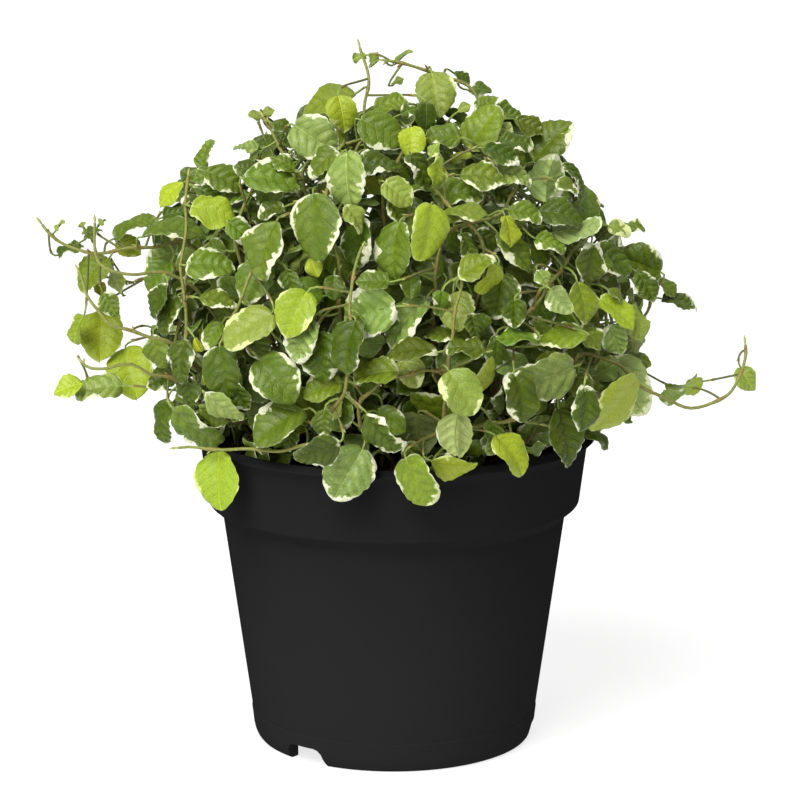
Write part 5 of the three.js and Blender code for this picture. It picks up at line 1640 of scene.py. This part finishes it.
def leaf_material():
    """A cream-edged leaf: mottled green with painted sheen and shade, veins, an irregular cream
    margin, a paler underside.
    """
    g = Graph("fig_leaf")
    tint = g.attribute("tint")
    spot = g.attribute("spot")
    gap, reach, vein = g.apart(g.attribute("edge"))
    youth, under, aside = g.apart(g.attribute("span"))
    grown = g.less(1.0, youth)

    # Veins: a rib, side veins and a faint net
    wave = g.calc("ABSOLUTE", g.calc("SINE", g.times(vein, math.pi)))
    side_vein = g.times(g.ramp(wave, 0.0, 0.32, 1.0, 0.0), g.ramp(gap, 0.2, 1.6))
    rib = g.ramp(aside, 0.08, 0.42, 1.0, 0.0)
    cells = g.node("ShaderNodeTexVoronoi", {"Vector": spot, "Scale": 0.9},
                   feature="DISTANCE_TO_EDGE").outputs["Distance"]
    mesh = g.ramp(cells, 0.0, 0.3, 1.0, 0.0)
    lines = g.calc("MAXIMUM", rib, g.times(side_vein, 0.8))
    lines = g.calc("MAXIMUM", lines, g.times(mesh, 0.18))

    # Green with a painted sheen: soft lighter, bluer patches on the bulges between the veins
    broad = g.noise(spot, 0.34, 2.0)
    fine = g.noise(spot, 1.7, 3.0, 0.6)
    painted_sheen = g.times(g.ramp(broad, 0.44, 0.6), g.ramp(wave, 0.25, 0.8, 0.35, 1.0))
    painted_sheen = g.times(painted_sheen, g.times(grown, 0.75))
    green = g.mix(painted_sheen, tint, g.toned(tint, 1.5, 1.36, 1.7))
    # Painted shade: darker green in the creases beside the veins, less on young leaves
    beside = g.times(g.ramp(wave, 0.1, 0.7, 1.0, 0.0), g.ramp(wave, 0.0, 0.2, 0.3, 1.0))
    painted_crease_shade = g.times(beside, g.ramp(youth, 0.0, 1.0, 0.28, 0.14))
    green = g.mix(painted_crease_shade, green, g.toned(green, 0.66, 0.72, 0.6))
    shade = g.ramp(fine, 0.25, 0.75, 0.86, 1.14)
    grey = g.node("ShaderNodeCombineColor", {0: shade, 1: shade, 2: shade}).outputs[0]
    green = g.mix(1.0, green, grey, "MULTIPLY")
    strength = g.add(g.add(0.46, g.times(under, 0.5)), g.times(rib, 0.45))
    green = g.mix(g.times(lines, strength), green, g.toned(green, 1.5, 1.42, 1.7))
    green = g.mix(under, green, g.mix(0.5, green, colour(UNDERSIDE)))

    # Cream margin: its width wanders, and a paler green band leads into it
    wander = g.noise(spot, 0.7, 1.2, 0.5)
    width = g.times(reach, g.ramp(wander, 0.3, 0.68, 0.55, 1.4))
    width = g.add(width, g.times(g.ramp(wander, 0.5, 0.72), g.times(grown, 0.22)))
    inwards = g.less(gap, width)
    band = g.times(g.ramp(inwards, 0.0, 0.5, 1.0, 0.0), g.ramp(reach, 0.05, 0.8, 0.1, 0.5))
    green = g.mix(band, green, colour(BAND))
    cream = g.mix(g.ramp(fine, 0.35, 0.75), colour(CREAM), colour(CREAM_DEEP))
    margin = g.mix(youth, cream, colour(YOUNG_MARGIN))
    whole = g.mix(g.ramp(inwards, -0.3, 0.06, 1.0, 0.0), green, margin)

    height = g.less(g.less(g.times(fine, 0.3), g.times(lines, 0.6)), g.times(mesh, 0.08))
    raised = g.add(height, g.times(g.times(lines, under), 1.9))
    return g.finish({
        "Base Color": whole,
        "Roughness": g.add(g.ramp(fine, 0.3, 0.7, 0.3, 0.4), g.times(under, 0.16)),
        "Specular IOR Level": 0.26,
        "Normal": g.bump(raised, 0.00032, 0.7),
    })


def stem_material():
    """Stems and stalks: their own colour with fine streaks along them."""
    g = Graph("fig_stem")
    tint = g.attribute("tint")
    streak = g.noise(g.attribute("spot"), 1.1, 3.0, 0.6)
    return g.finish({
        "Base Color": g.mix(g.ramp(streak, 0.4, 0.66), tint, g.toned(tint, 0.62, 0.58, 0.5)),
        "Roughness": 0.55,
        "Specular IOR Level": 0.35,
        "Normal": g.bump(streak, 0.0002, 0.6),
    })


def pot_material():
    """Black moulded plastic: a fine satin grain, dusty blotches, painted shade darker high up."""
    g = Graph("black_plastic")
    where = g.place()
    cloud = g.noise(where, 28.0, 3.0, 0.6)
    # Painted shade: the plastic is lighter low down and darker towards the lip
    low = g.ramp(g.apart(where)[2], 0.02, 0.092, 0.85, 0.0)
    dust_and_painted_shade = g.add(low, g.ramp(cloud, 0.4, 0.75, 0.0, 0.15))
    return g.finish({
        "Base Color": g.mix(dust_and_painted_shade, colour((30, 30, 31)), colour((35, 35, 36))),
        "Roughness": g.ramp(cloud, 0.3, 0.7, 0.56, 0.62),
        "Specular IOR Level": 0.0,
        "Normal": g.bump(g.noise(where, 2600.0, 2.0), 0.00006, 0.35),
    })


def soil_material():
    """Damp dark potting soil."""
    g = Graph("potting_soil")
    tint = g.attribute("tint")
    coarse = g.noise(g.place(), 420.0, 4.0, 0.7)
    return g.finish({
        "Base Color": g.mix(g.ramp(coarse, 0.35, 0.7), g.toned(tint, 0.35, 0.32, 0.3), tint),
        "Roughness": 0.9,
        "Specular IOR Level": 0.25,
        "Normal": g.bump(coarse, 0.0008, 0.9),
    })


def floor_material():
    """A pale floor that glows a little, so that the shadow on it stays faint."""
    g = Graph("pale_floor")
    soft = g.noise(g.place(), 3.0, 2.0)
    return g.finish({
        "Base Color": g.mix(soft, (0.3, 0.3, 0.297, 1.0), (0.32, 0.32, 0.317, 1.0)),
        "Roughness": 0.8,
        "Specular IOR Level": 0.2,
        "Emission Color": (1, 1, 1, 1),
        "Emission Strength": 0.77,
    })


# Lamps: name, kind, turn from the front (left is minus), rise, distance, power, size or spread
LAMPS = [
    ("softbox", "AREA", -34, 24, 1.5, 12, 1.2),
    ("key", "SUN", -28, 54, 3, 2.7, 34),
    ("back", "SUN", 150, 60, 3, 0.7, 60),
]
LIGHT_AIM = 0.12
SKY_LIGHT = 0.26
FLOOR_SIZE = 80
SENSOR = 36


def add_lamp(name, kind, turn, rise, reach, power, size):
    """A soft light that shines on the bush."""
    data = bpy.data.lights.new(name, kind)
    data.energy = power
    if kind == "AREA":
        data.size = size
    else:
        data.angle = math.radians(size)
    lamp = bpy.data.objects.new(name, data)
    t = math.radians(turn)
    r = math.radians(rise)
    away = (math.sin(t) * math.cos(r), -math.cos(t) * math.cos(r), math.sin(r))
    lamp.location = np.array(away) * reach + np.array((0, 0, LIGHT_AIM))
    lamp.rotation_euler = (math.radians(90 - rise), 0, t)
    bpy.context.collection.objects.link(lamp)


def make_stage():
    """Floor, soft light and the camera."""
    bpy.ops.mesh.primitive_plane_add(size=FLOOR_SIZE)
    floor = bpy.context.object
    floor.name = "floor"
    floor.data.materials.append(floor_material())
    for lamp in LAMPS:
        add_lamp(*lamp)
    world = bpy.data.worlds.new("studio")
    world.use_nodes = True
    background = world.node_tree.nodes["Background"]
    background.inputs[0].default_value = (1, 1, 1, 1)
    background.inputs[1].default_value = SKY_LIGHT
    scene = bpy.context.scene
    scene.world = world
    scene.view_settings.view_transform = "Standard"
    data = bpy.data.cameras.new("camera")
    data.sensor_width = SENSOR
    data.lens = SENSOR * SIGHT_REACH / SIGHT_WIDE
    camera = bpy.data.objects.new("camera", data)
    middle = RIM_MID + SEEN_RIGHT * SIGHT_MID[0] + SEEN_UP * SIGHT_MID[1]
    camera.location = (middle - SEEN_AWAY * SIGHT_REACH) * MM
    camera.rotation_euler = (math.pi / 2 - SIGHT_DIP, 0, 0)
    bpy.context.collection.objects.link(camera)
    scene.camera = camera


make_stage()
stems = make_stems()
bush = Bush(stems)
set_rows(bush, SEEN_LEAVES, SEEN_REACHES, DEPTH_TRIES, SLAB)
set_fill_leaves(bush)
set_rows(bush, SMALL_LEAVES, SMALL_REACHES, SMALL_TRIES, INNER_SLAB)
set_inner_leaves(bush)
set_core_leaves(bush)
set_shade_leaves(bush)
make_vines(bush, [leaf_material(), stem_material()])
make_pot(pot_material())
make_soil(stems, soil_material())
